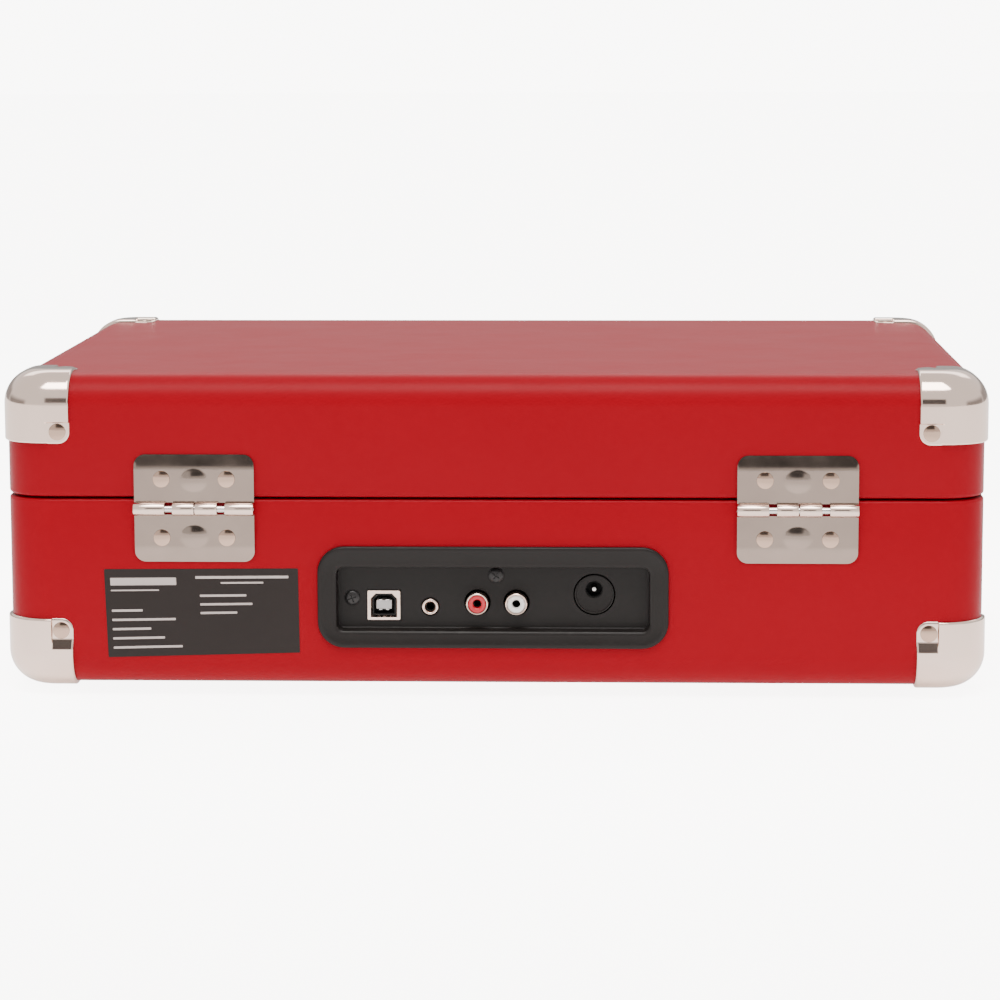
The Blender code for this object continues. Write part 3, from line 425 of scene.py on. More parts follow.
def finish(name, slot, colour, roughness, metallic=0.0, tone=None, grain=None, hairlines=0.0, dust=0.0,
           patch_scale=14.0, waves=0.0, **constants):
    """Material: two tones in patches, uneven gloss, and grain, hairlines or slow waves as bump.

    slot is not used; roughness is (low, high); grain is (cells per metre, depth in mm);
    hairlines and waves are depths in mm; constants go straight onto the shader's own sockets.
    """
    made = bpy.data.materials.new(name)
    made.use_nodes = True
    tree = made.node_tree
    shader = tree.nodes["Principled BSDF"]
    shader.inputs["Metallic"].default_value = metallic
    for key, value in constants.items():
        shader.inputs[key.replace("_", " ")].default_value = value

    def patches(scale, low, high):
        feeds = [(scale, "Scale"), (low, "Low"), (high, "High")]
        return wire(tree, "ShaderNodeGroup", feeds, node_tree=PATCHES).outputs["Value"]

    second = tone or tuple(c * 0.86 for c in colour)
    shade = blended(tree, patches(patch_scale, 0.0, 1.0), (*colour, 1), (*second, 1))
    if dust:
        veil = wire(tree, "ShaderNodeGroup", [(dust, "Amount")], node_tree=DUST)
        shade = blended(tree, veil.outputs["Mask"], shade, DUST_COLOUR)
    tree.links.new(shade, shader.inputs["Base Color"])
    tree.links.new(patches(patch_scale * GLOSS_PATCHES, *roughness), shader.inputs["Roughness"])
    heights = []
    if waves:
        heights.append((patches(WAVE_SCALE, 0.0, 1.0), waves))
    if grain:
        pebbles = wire(tree, "ShaderNodeGroup", [(grain[0], "Scale")], node_tree=GRAIN)
        heights.append((pebbles.outputs["Height"], grain[1]))
    if hairlines:
        lines = wire(tree, "ShaderNodeGroup", node_tree=HAIRLINES)
        heights.append((lines.outputs["Height"], hairlines))
    below = []
    for height, depth in heights:
        feeds = [(height, "Height"), (1.0, "Strength"), (depth * MM, "Distance")]
        bump = wire(tree, "ShaderNodeBump", feeds + below)
        below = [(bump.outputs["Normal"], "Normal")]
    for normal, _ in below:
        tree.links.new(normal, shader.inputs["Normal"])
    return made


LEATHERETTE = finish("red_leatherette", "red_leatherette", (0.222, 0.0002, 0.0062), (0.33, 0.37),
                     tone=(0.215, 0.0002, 0.0059), grain=(1500.0, 0.03), waves=0.10, Specular_IOR_Level=0.06)
THREAD = finish("red_thread", "red_leatherette", (0.30, 0.003, 0.010), (0.5, 0.62), grain=(5200.0, 0.05))
LINING = finish("black_lining", "black_plastic", (0.022, 0.021, 0.021), (0.75, 0.9), grain=(2600.0, 0.06),
                dust=0.03)
NICKEL = finish("bright_nickel", "nickel", (0.69, 0.530, 0.455), (0.08, 0.15), 1.0, tone=(0.66, 0.505, 0.43),
                hairlines=0.002)
SATIN_NICKEL = finish("satin_nickel", "nickel", (0.275, 0.214, 0.182), (0.12, 0.20), 1.0,
                      tone=(0.242, 0.188, 0.160), patch_scale=45.0, hairlines=0.003, waves=0.05)
RIVET_NICKEL = finish("rivet_nickel", "nickel", (0.46, 0.315, 0.245), (0.08, 0.15), 1.0,
                      tone=(0.40, 0.270, 0.205), hairlines=0.002)
STEEL = finish("polished_steel", "steel", (0.62, 0.60, 0.58), (0.16, 0.28), 1.0, hairlines=0.003)
PANEL_BLACK = finish("panel_black", "black_plastic", (0.0105, 0.0085, 0.0078), (0.34, 0.44),
                     grain=(3200.0, 0.012), dust=0.02, Specular_IOR_Level=0.16)
DECK_BLACK = finish("deck_black", "black_plastic", (0.0120, 0.0115, 0.0110), (0.32, 0.44),
                    grain=(2400.0, 0.02), dust=0.012, Specular_IOR_Level=0.3)
GLOSS_BLACK = finish("gloss_black", "black_plastic", (0.012, 0.0115, 0.011), (0.12, 0.22), dust=0.04)
SCREW_BLACK = finish("black_screw", "black_plastic", (0.024, 0.022, 0.022), (0.25, 0.4), 0.6)
# Near-black liner for the insides of the sockets' bores: painted shade of the holes.
HOLE_SHADE = finish("painted_hole_shade", "black_plastic", (0.004, 0.004, 0.004), (0.6, 0.7))
RUBBER = finish("rubber", "rubber", (0.022, 0.021, 0.021), (0.62, 0.8), grain=(1800.0, 0.02), dust=0.03)
RED_PLASTIC = finish("red_plastic", "red_plastic", (0.42, 0.004, 0.014), (0.28, 0.38))
WHITE_PLASTIC = finish("white_plastic", "white_plastic", (0.72, 0.69, 0.66), (0.3, 0.4))
GREY_PLASTIC = finish("grey_plastic", "white_plastic", (0.42, 0.40, 0.39), (0.35, 0.45))
BOARD_GREEN = finish("board_green", None, (0.014, 0.085, 0.030), (0.3, 0.42), grain=(900.0, 0.02))
PANEL_BOARD = finish("painted_board", None, (0.030, 0.026, 0.023), (0.6, 0.75), grain=(700.0, 0.06), dust=0.1)
LABEL = finish("label_paper", "black_plastic", (0.0155, 0.0108, 0.0098), (0.42, 0.5), grain=(5200.0, 0.004),
               Specular_IOR_Level=0.16)
PRINT = finish("label_print", "white_plastic", (0.40, 0.34, 0.32), (0.45, 0.55))

# ------------------------------------------------------------------ camera, floor and light
CAMERA_AT = (-0.04819, 1.30795, 0.24028)
CAMERA_YAW, CAMERA_PITCH, CAMERA_ROLL = math.radians(2.1967), math.radians(8.0223), math.radians(-0.1533)
CAMERA_LENS, SENSOR_WIDTH, CLIP_END = 119.7, 36.0, 30.0
LIGHT_TINT = (1.0, 0.985, 0.965, 1)
FLOOR_SIZE, FLOOR_ROUND = 24, 11.9
FLOOR_GLOW = 6.2
# The floor's own light: this strong within the first distance in metres, that weak beyond the second.
POOL_NEAR, POOL_FAR, POOL_STRONG, POOL_WEAK = 0.24, 0.50, 1.0, 0.12
ROOM_LIGHT = 1.45
ROOM_SEEN = 9.0
# Brightness added, elevation low and high, half width, bearing from +Y and softness; angles in degrees.
ROOM_PANELS = (
    (14.0, 54, 84, 38, 0, 3),      # soft box high over the hinge side
    (3.4, 34, 48, 40, 180, 3),     # soft box over the front
    (-1.3, 7, 23, 14, 0, 2),       # dark card facing the hinges
    (-0.9, -2, 16, 60, 180, 4),    # dark card facing the front
    (-1.0, -14, 10, 27, 90, 5),    # dark cards facing the two ends
    (-1.0, -14, 10, 27, -90, 5),
)


def camera():
    """Long lens behind the case, above its lid and looking slightly down."""
    ahead = Vector((math.sin(CAMERA_YAW) * math.cos(CAMERA_PITCH),
                    -math.cos(CAMERA_YAW) * math.cos(CAMERA_PITCH), -math.sin(CAMERA_PITCH)))
    right = ahead.cross(Vector((0, 0, 1))).normalized()
    up = right.cross(ahead)
    tilted_right = math.cos(CAMERA_ROLL) * right + math.sin(CAMERA_ROLL) * up
    tilted_up = -math.sin(CAMERA_ROLL) * right + math.cos(CAMERA_ROLL) * up
    lens = bpy.data.cameras.new("camera")
    lens.lens, lens.sensor_width, lens.clip_end = CAMERA_LENS, SENSOR_WIDTH, CLIP_END
    eye = linked("camera", lens)
    axes = Matrix((tilted_right, tilted_up, -ahead)).transposed().to_4x4()
    eye.matrix_world = Matrix.Translation(CAMERA_AT) @ axes
    bpy.context.scene.camera = eye


def studio():
    """Pale floor, brightest round the object and clear from below."""
    corners = [(x, y, 0.0) for x, y in rounded_rectangle(FLOOR_SIZE, FLOOR_SIZE, FLOOR_ROUND, 12)]
    floor_mesh = bpy.data.meshes.new("floor")
    floor_mesh.from_pydata(corners, [], [list(range(len(corners)))])
    floor = linked("floor", floor_mesh)
    paint = finish("floor_paint", None, (0.95, 0.945, 0.94), (0.6, 0.65), tone=(0.945, 0.94, 0.935))
    tree = paint.node_tree
    shader = tree.nodes["Principled BSDF"]
    shader.inputs["Emission Color"].default_value = LIGHT_TINT
    path = wire(tree, "ShaderNodeLightPath")
    reach = wire(tree, "ShaderNodeVectorMath", [(object_place(tree), 0)], operation="LENGTH")
    pool = spread(tree, reach.outputs["Value"], POOL_NEAR, POOL_FAR, POOL_STRONG, POOL_WEAK)
    glow = maths(tree, "MULTIPLY_ADD", path.outputs["Is Camera Ray"], FLOOR_GLOW, pool)
    tree.links.new(glow, shader.inputs["Emission Strength"])
    side = wire(tree, "ShaderNodeNewGeometry")
    clear = wire(tree, "ShaderNodeBsdfTransparent")
    seen = wire(tree, "ShaderNodeMixShader", [
        (side.outputs["Backfacing"], 0), (shader.outputs[0], 1), (clear.outputs[0], 2)])
    tree.links.new(seen.outputs[0], tree.nodes["Material Output"].inputs["Surface"])
    floor_mesh.materials.append(paint)


def studio_window(tree, value, low, high, soft):
    """One between two values, falling softly to nought on either side."""
    rise = spread(tree, value, low - soft, low + soft, interpolation_type="SMOOTHSTEP")
    fall = spread(tree, value, high - soft, high + soft, 1.0, 0.0, interpolation_type="SMOOTHSTEP")
    return maths(tree, "MULTIPLY", rise, fall)


def surroundings():
    """Pale room with its soft boxes and dark cards, and one plain tone where the camera sees it."""
    world = bpy.data.worlds.new("surroundings")
    world.use_nodes = True
    bpy.context.scene.world = world
    tree = world.node_tree
    place = wire(tree, "ShaderNodeTexCoord").outputs["Generated"]
    split = wire(tree, "ShaderNodeSeparateXYZ", [(place, 0)])
    height = maths(tree, "DEGREES", maths(tree, "ARCSINE", split.outputs["Z"]))
    total = ROOM_LIGHT
    for amount, low, high, half, bearing, soft in ROOM_PANELS:
        swung = wire(tree, "ShaderNodeVectorRotate", [(place, "Vector"), (math.radians(bearing), "Angle")],
                     rotation_type="Z_AXIS")
        parts = wire(tree, "ShaderNodeSeparateXYZ", [(swung.outputs[0], 0)])
        side = maths(tree, "DEGREES", maths(tree, "ARCTAN2", parts.outputs["X"], parts.outputs["Y"]))
        across = studio_window(tree, side, -half, half, soft)
        upright = studio_window(tree, height, low, high, soft)
        total = maths(tree, "MULTIPLY_ADD", maths(tree, "MULTIPLY", across, upright), amount, total)
    path = wire(tree, "ShaderNodeLightPath")
    seen = wire(tree, "ShaderNodeMix", [(path.outputs["Is Camera Ray"], 0), (total, 2), (ROOM_SEEN, 3)],
                data_type="FLOAT")
    sky = tree.nodes["Background"]
    sky.inputs["Color"].default_value = LIGHT_TINT
    tree.links.new(seen.outputs[0], sky.inputs["Strength"])


camera()
studio()
surroundings()


# ------------------------------------------------------------------ case shells
PANEL_Z = BOTTOM + 33.3 * MM
RECESS_SIZE = mm(113.5, 23.3)
RECESS_Z = BOTTOM + 32.6 * MM
RECESS_FLOOR = BACK - 5 * MM


def case_section(inset, z):
    """Level outline of the case, set in from its outer face."""
    radius = max(CORNER_RADIUS - inset, 1.5 * MM)
    outline = rounded_rectangle(2 * (HALF_WIDTH - inset), 2 * (HALF_DEPTH - inset), radius, 16)
    return [(x, y, z) for x, y in outline]


def shell_sections(outer_z, rim_z, inner_sections):
    """Sections from the flat outer face, round the long edge, up the side and over the rim."""
    way = 1 if rim_z > outer_z else -1
    sections = [case_section(EDGE_RADIUS * (1 - sine), outer_z + way * EDGE_RADIUS * (1 - cosine))
                for sine, cosine in quarter_turn(12)]
    sections += [case_section(RIM_ROUND * (1 - cosine), rim_z - way * RIM_ROUND * (1 - sine))
                 for sine, cosine in quarter_turn(4)]
    return sections + [case_section(inset, z) for inset, z in inner_sections]


def case_shells():
    """Both shells with their covering turned over the rims, and the lid's dark lining."""
    turn_in = 0.6 * MM
    lid = loft(shell_sections(TOP, LID_RIM, [
        (WALL - turn_in, LID_RIM), (WALL, LID_RIM + turn_in), (WALL, TOP - WALL)]))
    put("lid_covering", lid, LEATHERETTE, "lid", ("lid_shell", "lid_board"))

    ledge = WALL + 2 * MM
    base = loft(shell_sections(BOTTOM, BASE_RIM, [
        (WALL - turn_in, BASE_RIM), (WALL, BASE_RIM - turn_in), (WALL, DECK_UNDER),
        (ledge, DECK_UNDER), (ledge, BOTTOM + WALL)]))
    rebate = rounded_rectangle(*mm(220, 116, 8))
    opening = rounded_rectangle(*mm(204, 100, 5))
    window = [(x, z + RECESS_Z) for x, z in rounded_rectangle(RECESS_SIZE[0] + 3.6 * MM,
                                                              RECESS_SIZE[1] + 3.6 * MM, 4.5 * MM)]
    base = carved(base, [prism(rebate, BOTTOM - MM, BOTTOM + 3.6 * MM),
                         prism(opening, BOTTOM, BOTTOM + WALL + MM),
                         prism(window, BACK - 12 * MM, BACK + 2 * MM, "Y")])
    put("base_covering", base, LEATHERETTE, "case", ("base_shell",))

    skin, play = mm(0.5, 0.05)
    low, high = LID_RIM + 1.6 * MM, TOP - WALL - play
    lining = loft([case_section(WALL + play, high), case_section(WALL + play, low),
                   case_section(WALL + skin, low), case_section(WALL + skin, high - skin)])
    put("lid_lining", lining, LINING, "lid")


# ------------------------------------------------------------------ corner protectors
PROTECTOR_REACH = 25 * MM
PROTECTOR_HEIGHT = 1.28 * MM
TIP_RADIUS = 4.2 * MM
RIM_ROLL = 0.9 * MM
RIM_HEIGHT = 0.08 * MM
INNER_HEIGHT = 0.03 * MM
PAD_HEIGHT = 0.42 * MM
PAD_START = 17.4 * MM
PAD_STEP = 0.15 * MM
# The slope beside a pad: its length, and the share of the way down that it takes.
SHORT_FALL = (0.25 * MM, 0.5)
SIDE_FALL = (1.1 * MM, 1.0)
LONG_FALL = (3.6 * MM, 0.9)
LID_FALLS = ((SHORT_FALL, SHORT_FALL), (SHORT_FALL, SIDE_FALL), (SIDE_FALL, SHORT_FALL))
BASE_FALLS = ((SHORT_FALL, SHORT_FALL), (LONG_FALL, SHORT_FALL), (SHORT_FALL, LONG_FALL))
RIVET_INSET = PROTECTOR_REACH - 4.4 * MM


def flap_positions():
    """Distances from the corner where the sheet is divided: close together at the pad's edge and the rim."""
    rim = PROTECTOR_REACH
    inner = [rim * 0.956 * step / 34 for step in range(35)]
    inner = sorted([*inner, *mm(13.55, 13.75, 16.05, 16.3, 17.0, 17.1, 17.25, 17.4)])
    return inner + [rim - distance for distance in mm(0.85, 0.6, 0.4, 0.25, 0.12, 0.04, 0.0)]


def on_case(point, height):
    """Point of the case's surface nearest a point of the sharp corner box, raised by a height.

    The corner is at the origin with the case towards -X, -Y and -Z.
    """
    x, y, z = point
    bend = CORNER_RADIUS - EDGE_RADIUS
    away = Vector((x + CORNER_RADIUS, y + CORNER_RADIUS))
    if away.x > 0 and away.y > 0:
        if away.length > bend:
            away = away.normalized() * bend
        core = Vector((away.x - CORNER_RADIUS, away.y - CORNER_RADIUS))
    else:
        core = Vector((min(x, -EDGE_RADIUS), min(y, -EDGE_RADIUS)))
    core = Vector((core.x, core.y, min(z, -EDGE_RADIUS)))
    outward_way = (Vector(point) - core).normalized()
    return core + outward_way * (EDGE_RADIUS + height)


def sink(distance, fall):
    """Share of the way down to the pad: an even slope and then a short step."""
    length, share = fall
    step = PAD_START - PAD_STEP
    return share * ramp(distance, step - length, step) + (1 - share) * ramp(distance, step, PAD_START)


def protector(falls):
    """Pressed shell over one corner, with a sunk pad at each tip and a rolled rim.

    falls gives, for each of the three flaps, the slope beside its pad both ways.
    """
    reach, tip = PROTECTOR_REACH, TIP_RADIUS
    rows = flap_positions()

    def in_plane(u, v):
        a, b = u - reach + tip, v - reach + tip
        if a > 0 and b > 0:
            scale = max(a, b) / math.hypot(a, b)
            return reach - tip + a * scale, reach - tip + b * scale
        return u, v

    def height(u, v, fall):
        edge = reach - max(u, v)
        if u > reach - tip and v > reach - tip:
            edge = max(tip - math.hypot(u - reach + tip, v - reach + tip), 0.0)
        rim = min(edge / RIM_ROLL, 1.0)
        pad = sink(u, fall[0]) * sink(v, fall[1])
        full = PROTECTOR_HEIGHT - (PROTECTOR_HEIGHT - PAD_HEIGHT) * pad
        return RIM_HEIGHT + (full - RIM_HEIGHT) * math.sqrt(max(1 - (1 - rim) ** 2, 0.0))

    shape = bmesh.new()
    flaps = (lambda u, v: (-u, -v, 0.0), lambda u, v: (-v, 0.0, -u), lambda u, v: (0.0, -u, -v))
    for flap, fall in zip(flaps, falls):
        spots = [[in_plane(u, v) for v in rows] for u in rows]
        upper = [[shape.verts.new(on_case(flap(u, v), height(u, v, fall))) for u, v in line]
                 for line in spots]
        lower = [[shape.verts.new(on_case(flap(u, v), INNER_HEIGHT)) for u, v in line] for line in spots]
        skins(shape, upper, lower)
        last = len(rows) - 1
        for k in range(last):
            shape.faces.new((upper[last][k], upper[last][k + 1], lower[last][k + 1], lower[last][k]))
            shape.faces.new((upper[k + 1][last], upper[k][last], lower[k][last], lower[k + 1][last]))
    bmesh.ops.remove_doubles(shape, verts=shape.verts, dist=0.004 * MM)
    bmesh.ops.recalc_face_normals(shape, faces=shape.faces)
    return shape


def rivet_head(radius=3.0 * MM, crown=0.36 * MM, skirt=0.34 * MM):
    """Low domed head standing on z = 0."""
    ball = (radius ** 2 + crown ** 2) / (2 * crown)
    edge = math.degrees(math.asin(radius / ball))
    leans = [math.radians(edge * k / 9) for k in range(9, 0, -1)]
    dome = [(ball * math.sin(lean), skirt + crown - ball * (1 - math.cos(lean))) for lean in leans]
    return lathed([(radius * 0.9, -0.1 * MM), (radius, 0.0), (radius + 0.06 * MM, skirt * 0.7), *dome,
                   (0.05 * MM, skirt + crown)], 40)


def corner_protectors():
    """Eight protectors, each with a rivet in every pad."""
    inset = RIVET_INSET
    for node, z, falls, body in (("lid_corner", TOP, LID_FALLS, "lid"),
                                 ("base_corner", BOTTOM, BASE_FALLS, "case")):
        shape = protector(falls)
        rivets = []
        up = 1 if z == TOP else -1
        for number, (side_x, side_y) in enumerate(((1, 1), (-1, 1), (-1, -1), (1, -1)), 1):
            corner = Matrix.Translation((side_x * HALF_WIDTH, side_y * HALF_DEPTH, z))
            carry = corner @ Matrix.Diagonal((side_x, side_y, up, 1))
            put(f"{node}_shell_{number}", moved(shape.copy(), carry), NICKEL, body, (f"{node}_{number}",),
                smooth=40)
            for local, turn in (((-inset, -inset, PAD_HEIGHT), (0 if up > 0 else 180, 0, 0)),
                                ((-inset, PAD_HEIGHT, -inset), (-90 * side_y, 0, 0)),
                                ((PAD_HEIGHT, -inset, -inset), (0, 90 * side_x, 0))):
                rivets.append((carry @ Vector(local), turn))
        shape.free()
        repeat(f"{node}_rivets", rivet_head(), rivets, RIVET_NICKEL, body)


# ------------------------------------------------------------------ hinges
HINGE_WIDTH = 43.5 * MM
LEAF_START, LEAF_REACH = mm(2.2, 19.6)
LEAF_CORNER = 4.0 * MM
LEAF_FACE = BACK + 1.3 * MM
LEAF_BEND = 1.1475 * MM
DIMPLE_AT = 10.2 * MM
DIMPLE_REACH = mm(5.2, 4.1)
DIMPLE_RISE = 0.62 * MM
LEAF_ROUND = 0.35 * MM
BARREL_RADIUS = 2.45 * MM
HINGE_CENTRES = mm(108.0, -109.8)
KNUCKLE_SPANS = (mm(-21.75, -11.4), mm(-8.6, -0.55), mm(-0.25, 7.6), mm(10.4, 21.75))


def leaf_plate(side):
    """Leaf as a pressed sheet: bent outer band, round outer corners and a raised dimple."""
    across = [HINGE_WIDTH * (k / 72 - 0.5) for k in range(73)]
    upward = [LEAF_START + (LEAF_REACH - LEAF_START) * k / 44 for k in range(45)]

    def pressed(x, w):
        over_x = abs(x) - (HINGE_WIDTH / 2 - LEAF_CORNER)
        over_w = w - (LEAF_REACH - LEAF_CORNER)
        if over_x > 0 and over_w > 0:
            scale = max(over_x, over_w) / math.hypot(over_x, over_w)
            x = math.copysign(HINGE_WIDTH / 2 - LEAF_CORNER + over_x * scale, x)
            w = LEAF_REACH - LEAF_CORNER + over_w * scale
        drop = LEAF_BEND * smooth_step(w, 13.6 * MM, LEAF_REACH + 2.4 * MM)
        away = Vector((x / DIMPLE_REACH[0], (w - DIMPLE_AT) / DIMPLE_REACH[1]))
        rise = DIMPLE_RISE * (1.0 - min(away.length, 1.0) ** 2) ** 1.15
        rim = min(HINGE_WIDTH / 2 - abs(x), LEAF_ROUND) / LEAF_ROUND
        return x, w, LEAF_FACE - drop + rise - 0.12 * MM * (1 - rim) ** 2

    def border(grid):
        return ([line[0] for line in grid] + grid[-1][1:] + [line[-1] for line in grid[-2::-1]]
                + grid[0][-2:0:-1])

    shape = bmesh.new()
    spots = [[pressed(x, w) for w in upward] for x in across]
    front = [[shape.verts.new((x, y, side * w)) for x, w, y in line] for line in spots]
    back = [[shape.verts.new((x, BACK + 0.1 * MM, side * w)) for x, w, y in line] for line in spots]
    skins(shape, back, front)
    front_ring, back_ring = border(front), border(back)
    for k in range(len(front_ring)):
        after = (k + 1) % len(front_ring)
        shape.faces.new((front_ring[k], back_ring[k], back_ring[after], front_ring[after]))
    bmesh.ops.recalc_face_normals(shape, faces=shape.faces)
    return shape


def barrel(low, high):
    """Knuckle as a rolled tube with rounded ends, along X about the axis."""
    bore, outer, soft = 1.25 * MM, BARREL_RADIUS, 0.22 * MM
    profile = [(bore, low), (outer - soft, low), (outer - soft * 0.3, low + soft * 0.3), (outer, low + soft),
               (outer, high - soft), (outer - soft * 0.3, high - soft * 0.3), (outer - soft, high),
               (bore, high)]
    return placed(lathed(profile, 40, closed=True), turn=(0, 90, 0))


def hinges():
    """Two hinges: leaf plates, alternate knuckles that curl from them, pins and rivets."""
    web = [(LEAF_FACE - 1.0 * MM, 1.4 * MM), (LEAF_FACE - 1.0 * MM, 2.6 * MM), (LEAF_FACE, 2.6 * MM),
           (LEAF_FACE + 0.35 * MM, 2.5 * MM), (LEAF_FACE + 0.9 * MM, 2.42 * MM),
           (HINGE_AXIS.y, BARREL_RADIUS), (HINGE_AXIS.y, 1.6 * MM)]
    for number, centre in enumerate(HINGE_CENTRES, 1):
        at = (centre, 0, HINGE_AXIS.z)
        for side, node, body, own in ((1, "hinge_leaf_lid", "lid", (0, 2)),
                                      (-1, "hinge_leaf_base", "case", (1, 3))):
            shapes = []
            for low, high in (KNUCKLE_SPANS[span] for span in own):
                shapes.append(placed(barrel(low, high), (0, HINGE_AXIS.y, 0)))
                shapes.append(prism([(y, side * z) for y, z in web], low + 0.05 * MM, high - 0.05 * MM, "X"))
            put(f"{node}_pressed_{number}", placed(leaf_plate(side), at), SATIN_NICKEL, body,
                (f"{node}_{number}",), smooth=40)
            put(f"{node}_knuckles_{number}", placed(merged(*shapes), at), NICKEL, body, smooth=40)
        end = HINGE_WIDTH / 2
        pin = lathed([(0.95 * MM, -end - 0.1 * MM), (1.2 * MM, -end + 0.15 * MM), (1.2 * MM, end - 0.15 * MM),
                      (0.95 * MM, end + 0.1 * MM)], 32)
        pin = placed(pin, (centre, HINGE_AXIS.y, HINGE_AXIS.z), (0, 90, 0))
        put(f"hinge_pin_turned_{number}", pin, STEEL, "case", (f"hinge_pin_{number}",))
    for body, side in (("lid", 1), ("case", -1)):
        places = [((centre + dx, LEAF_FACE - 0.02 * MM, HINGE_AXIS.z + side * 10.7 * MM), (-90, 0, 0))
                  for centre in HINGE_CENTRES for dx in mm(-11.8, 11.8)]
        repeat(f"hinge_rivets_{body}", rivet_head(), places, RIVET_NICKEL, body)


# ------------------------------------------------------------------ rear panel and its sockets
def panel_ring(width, height, radius, middle, y):
    """Upright rounded rectangle of the rear panel at a depth."""
    return [(x, y, middle + z) for x, z in rounded_rectangle(width, height, radius, 12)]


def phillips_screw():
    """Pan-head screw with a cross recess, facing +Z."""
    head = turned([(2.6, -0.3), (2.8, 0), (2.75, 0.5), (2.3, 0.95), (1.5, 1.2), (0.05, 1.28)], 32)
    slot, reach = 0.42 * MM, 1.55 * MM
    return carved(head, [block((-reach, -slot / 2, 0.35 * MM), (reach, slot / 2, 2 * MM)),
                         block((-slot / 2, -reach, 0.35 * MM), (slot / 2, reach, 2 * MM))])


def rear_panel():
    """Satin bezel with a rounded raised rim and a sunk tray, pierced for the sockets."""
    width, height, radius = mm(127.2, 37.2, 9.7)
    rise, roll = 0.75 * MM, 0.85 * MM

    def bezel(inset, y):
        return panel_ring(width - 2 * inset, height - 2 * inset, radius - inset, PANEL_Z, y)

    def tray(grow, corner, y):
        return panel_ring(RECESS_SIZE[0] + grow * MM, RECESS_SIZE[1] + grow * MM, corner * MM, RECESS_Z, y)

    behind = BACK + 0.06 * MM
    sections = [tray(3, 4, RECESS_FLOOR - 2.2 * MM), tray(3, 4, behind), bezel(0.0, behind)]
    sections += [bezel(roll * (1 - cosine), BACK + rise + roll * sine) for sine, cosine in quarter_turn(5)]
    sections += [bezel(inset * MM, BACK + y * MM) for inset, y in ((1.5, 1.6), (1.9, 1.5), (2.2, 1.38))]
    sections += [tray(2 * grow, 2.7 + grow, BACK + y * MM)
                 for grow, y in ((1.5, 1.35), (1.0, 1.3), (0.45, 1.1), (0.12, 0.75), (0.0, 0.3))]
    sections += [tray(-0.4, 2.5, RECESS_FLOOR + 0.35 * MM), tray(-1.1, 2.2, RECESS_FLOOR)]
    low, high = RECESS_FLOOR - 4 * MM, RECESS_FLOOR + MM
    usb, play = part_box("usb_socket"), 0.2 * MM
    cuts = [block((usb[0][0] - play, low, usb[0][2] - play), (usb[1][0] + play, high, usb[1][2] + play))]
    for node, bore in (("aux_jack", 3.4), ("rca_jack_red", 4.8), ("rca_jack_white", 4.8),
                       ("dc_socket", 7.65)):
        x, _, z = centre_of(node)
        cuts.append(prism([(x + u, z + v) for u, v in arc(bore * MM, 0, 357, 47)], low, high, "Y"))
    put("rear_bezel", carved(loft(sections), cuts), PANEL_BLACK, "case", ("rear_panel",), smooth=28)
    screws = [((51.4 * MM, RECESS_FLOOR, BOTTOM + 32.2 * MM), (-90, 20, 0)),
              ((-1.0 * MM, RECESS_FLOOR, BOTTOM + 40.6 * MM), (-90, 55, 0))]
    repeat("panel_screws", phillips_screw(), screws, SCREW_BLACK)


def outward(shape, x, z):
    """Shape made facing +Z, turned to face out of the rear panel's tray."""
    return placed(shape, (x, RECESS_FLOOR, z), (-90, 0, 0))


def usb_socket():
    """Square data socket: folded shell with a chamfered mouth, spring slots and a grey tongue."""
    x, _, z = centre_of("usb_socket")
    half_w, half_h = mm(5.95, 5.4)
    square = [(-half_w, -half_h), (half_w, -half_h), (half_w, half_h), (-half_w, half_h)]
    shell = prism(softened(square, 0.5 * MM), -13.5 * MM, 0.55 * MM)
    mouth = [mm(-4.2, 3.9), mm(4.2, 3.9), mm(4.2, -2.2), mm(2.6, -3.8), mm(-2.6, -3.8), mm(-4.2, -2.2)]

    def scaled(share):
        return [(u * share, v * share) for u, v in mouth]

    flare = loft([[(u, v, -0.9 * MM) for u, v in mouth], [(u, v, 0.75 * MM) for u, v in scaled(1.16)]])
    cuts = [prism(mouth, -8.6 * MM, 2 * MM), flare]
    for left, right in ((-5.25, -4.9), (4.9, 5.25)):
        cuts.append(block(mm(left, -2.2, 0.2), mm(right, 1.8, 1)))
    put("usb_shell", outward(carved(shell, cuts), x, z), NICKEL, "case", ("usb_socket",), bevel=0.12 * MM)
    # Near-black liner inside the socket's mouth: painted shade of its hollow.
    inside = carved(prism(scaled(0.985), -8.5 * MM, -1.5 * MM), [prism(scaled(0.9), -8.2 * MM, 1.5 * MM)])
    put("usb_inside", outward(inside, x, z), HOLE_SHADE)
    put("usb_tongue", outward(block(mm(-2.8, -1.7, -8.4), mm(2.8, 1.5, -0.5)), x, z), GREY_PLASTIC,
        bevel=0.25 * MM)
    pins = [((x + dx, RECESS_FLOOR - 0.9 * MM, z + dz), (0, 0, 0))
            for dx in mm(-1.25, 1.25) for dz in mm(1.82, -1.72)]
    repeat("usb_contacts", block(mm(-0.55, -3, -0.14), mm(0.55, 0.2, 0.14)), pins, STEEL)


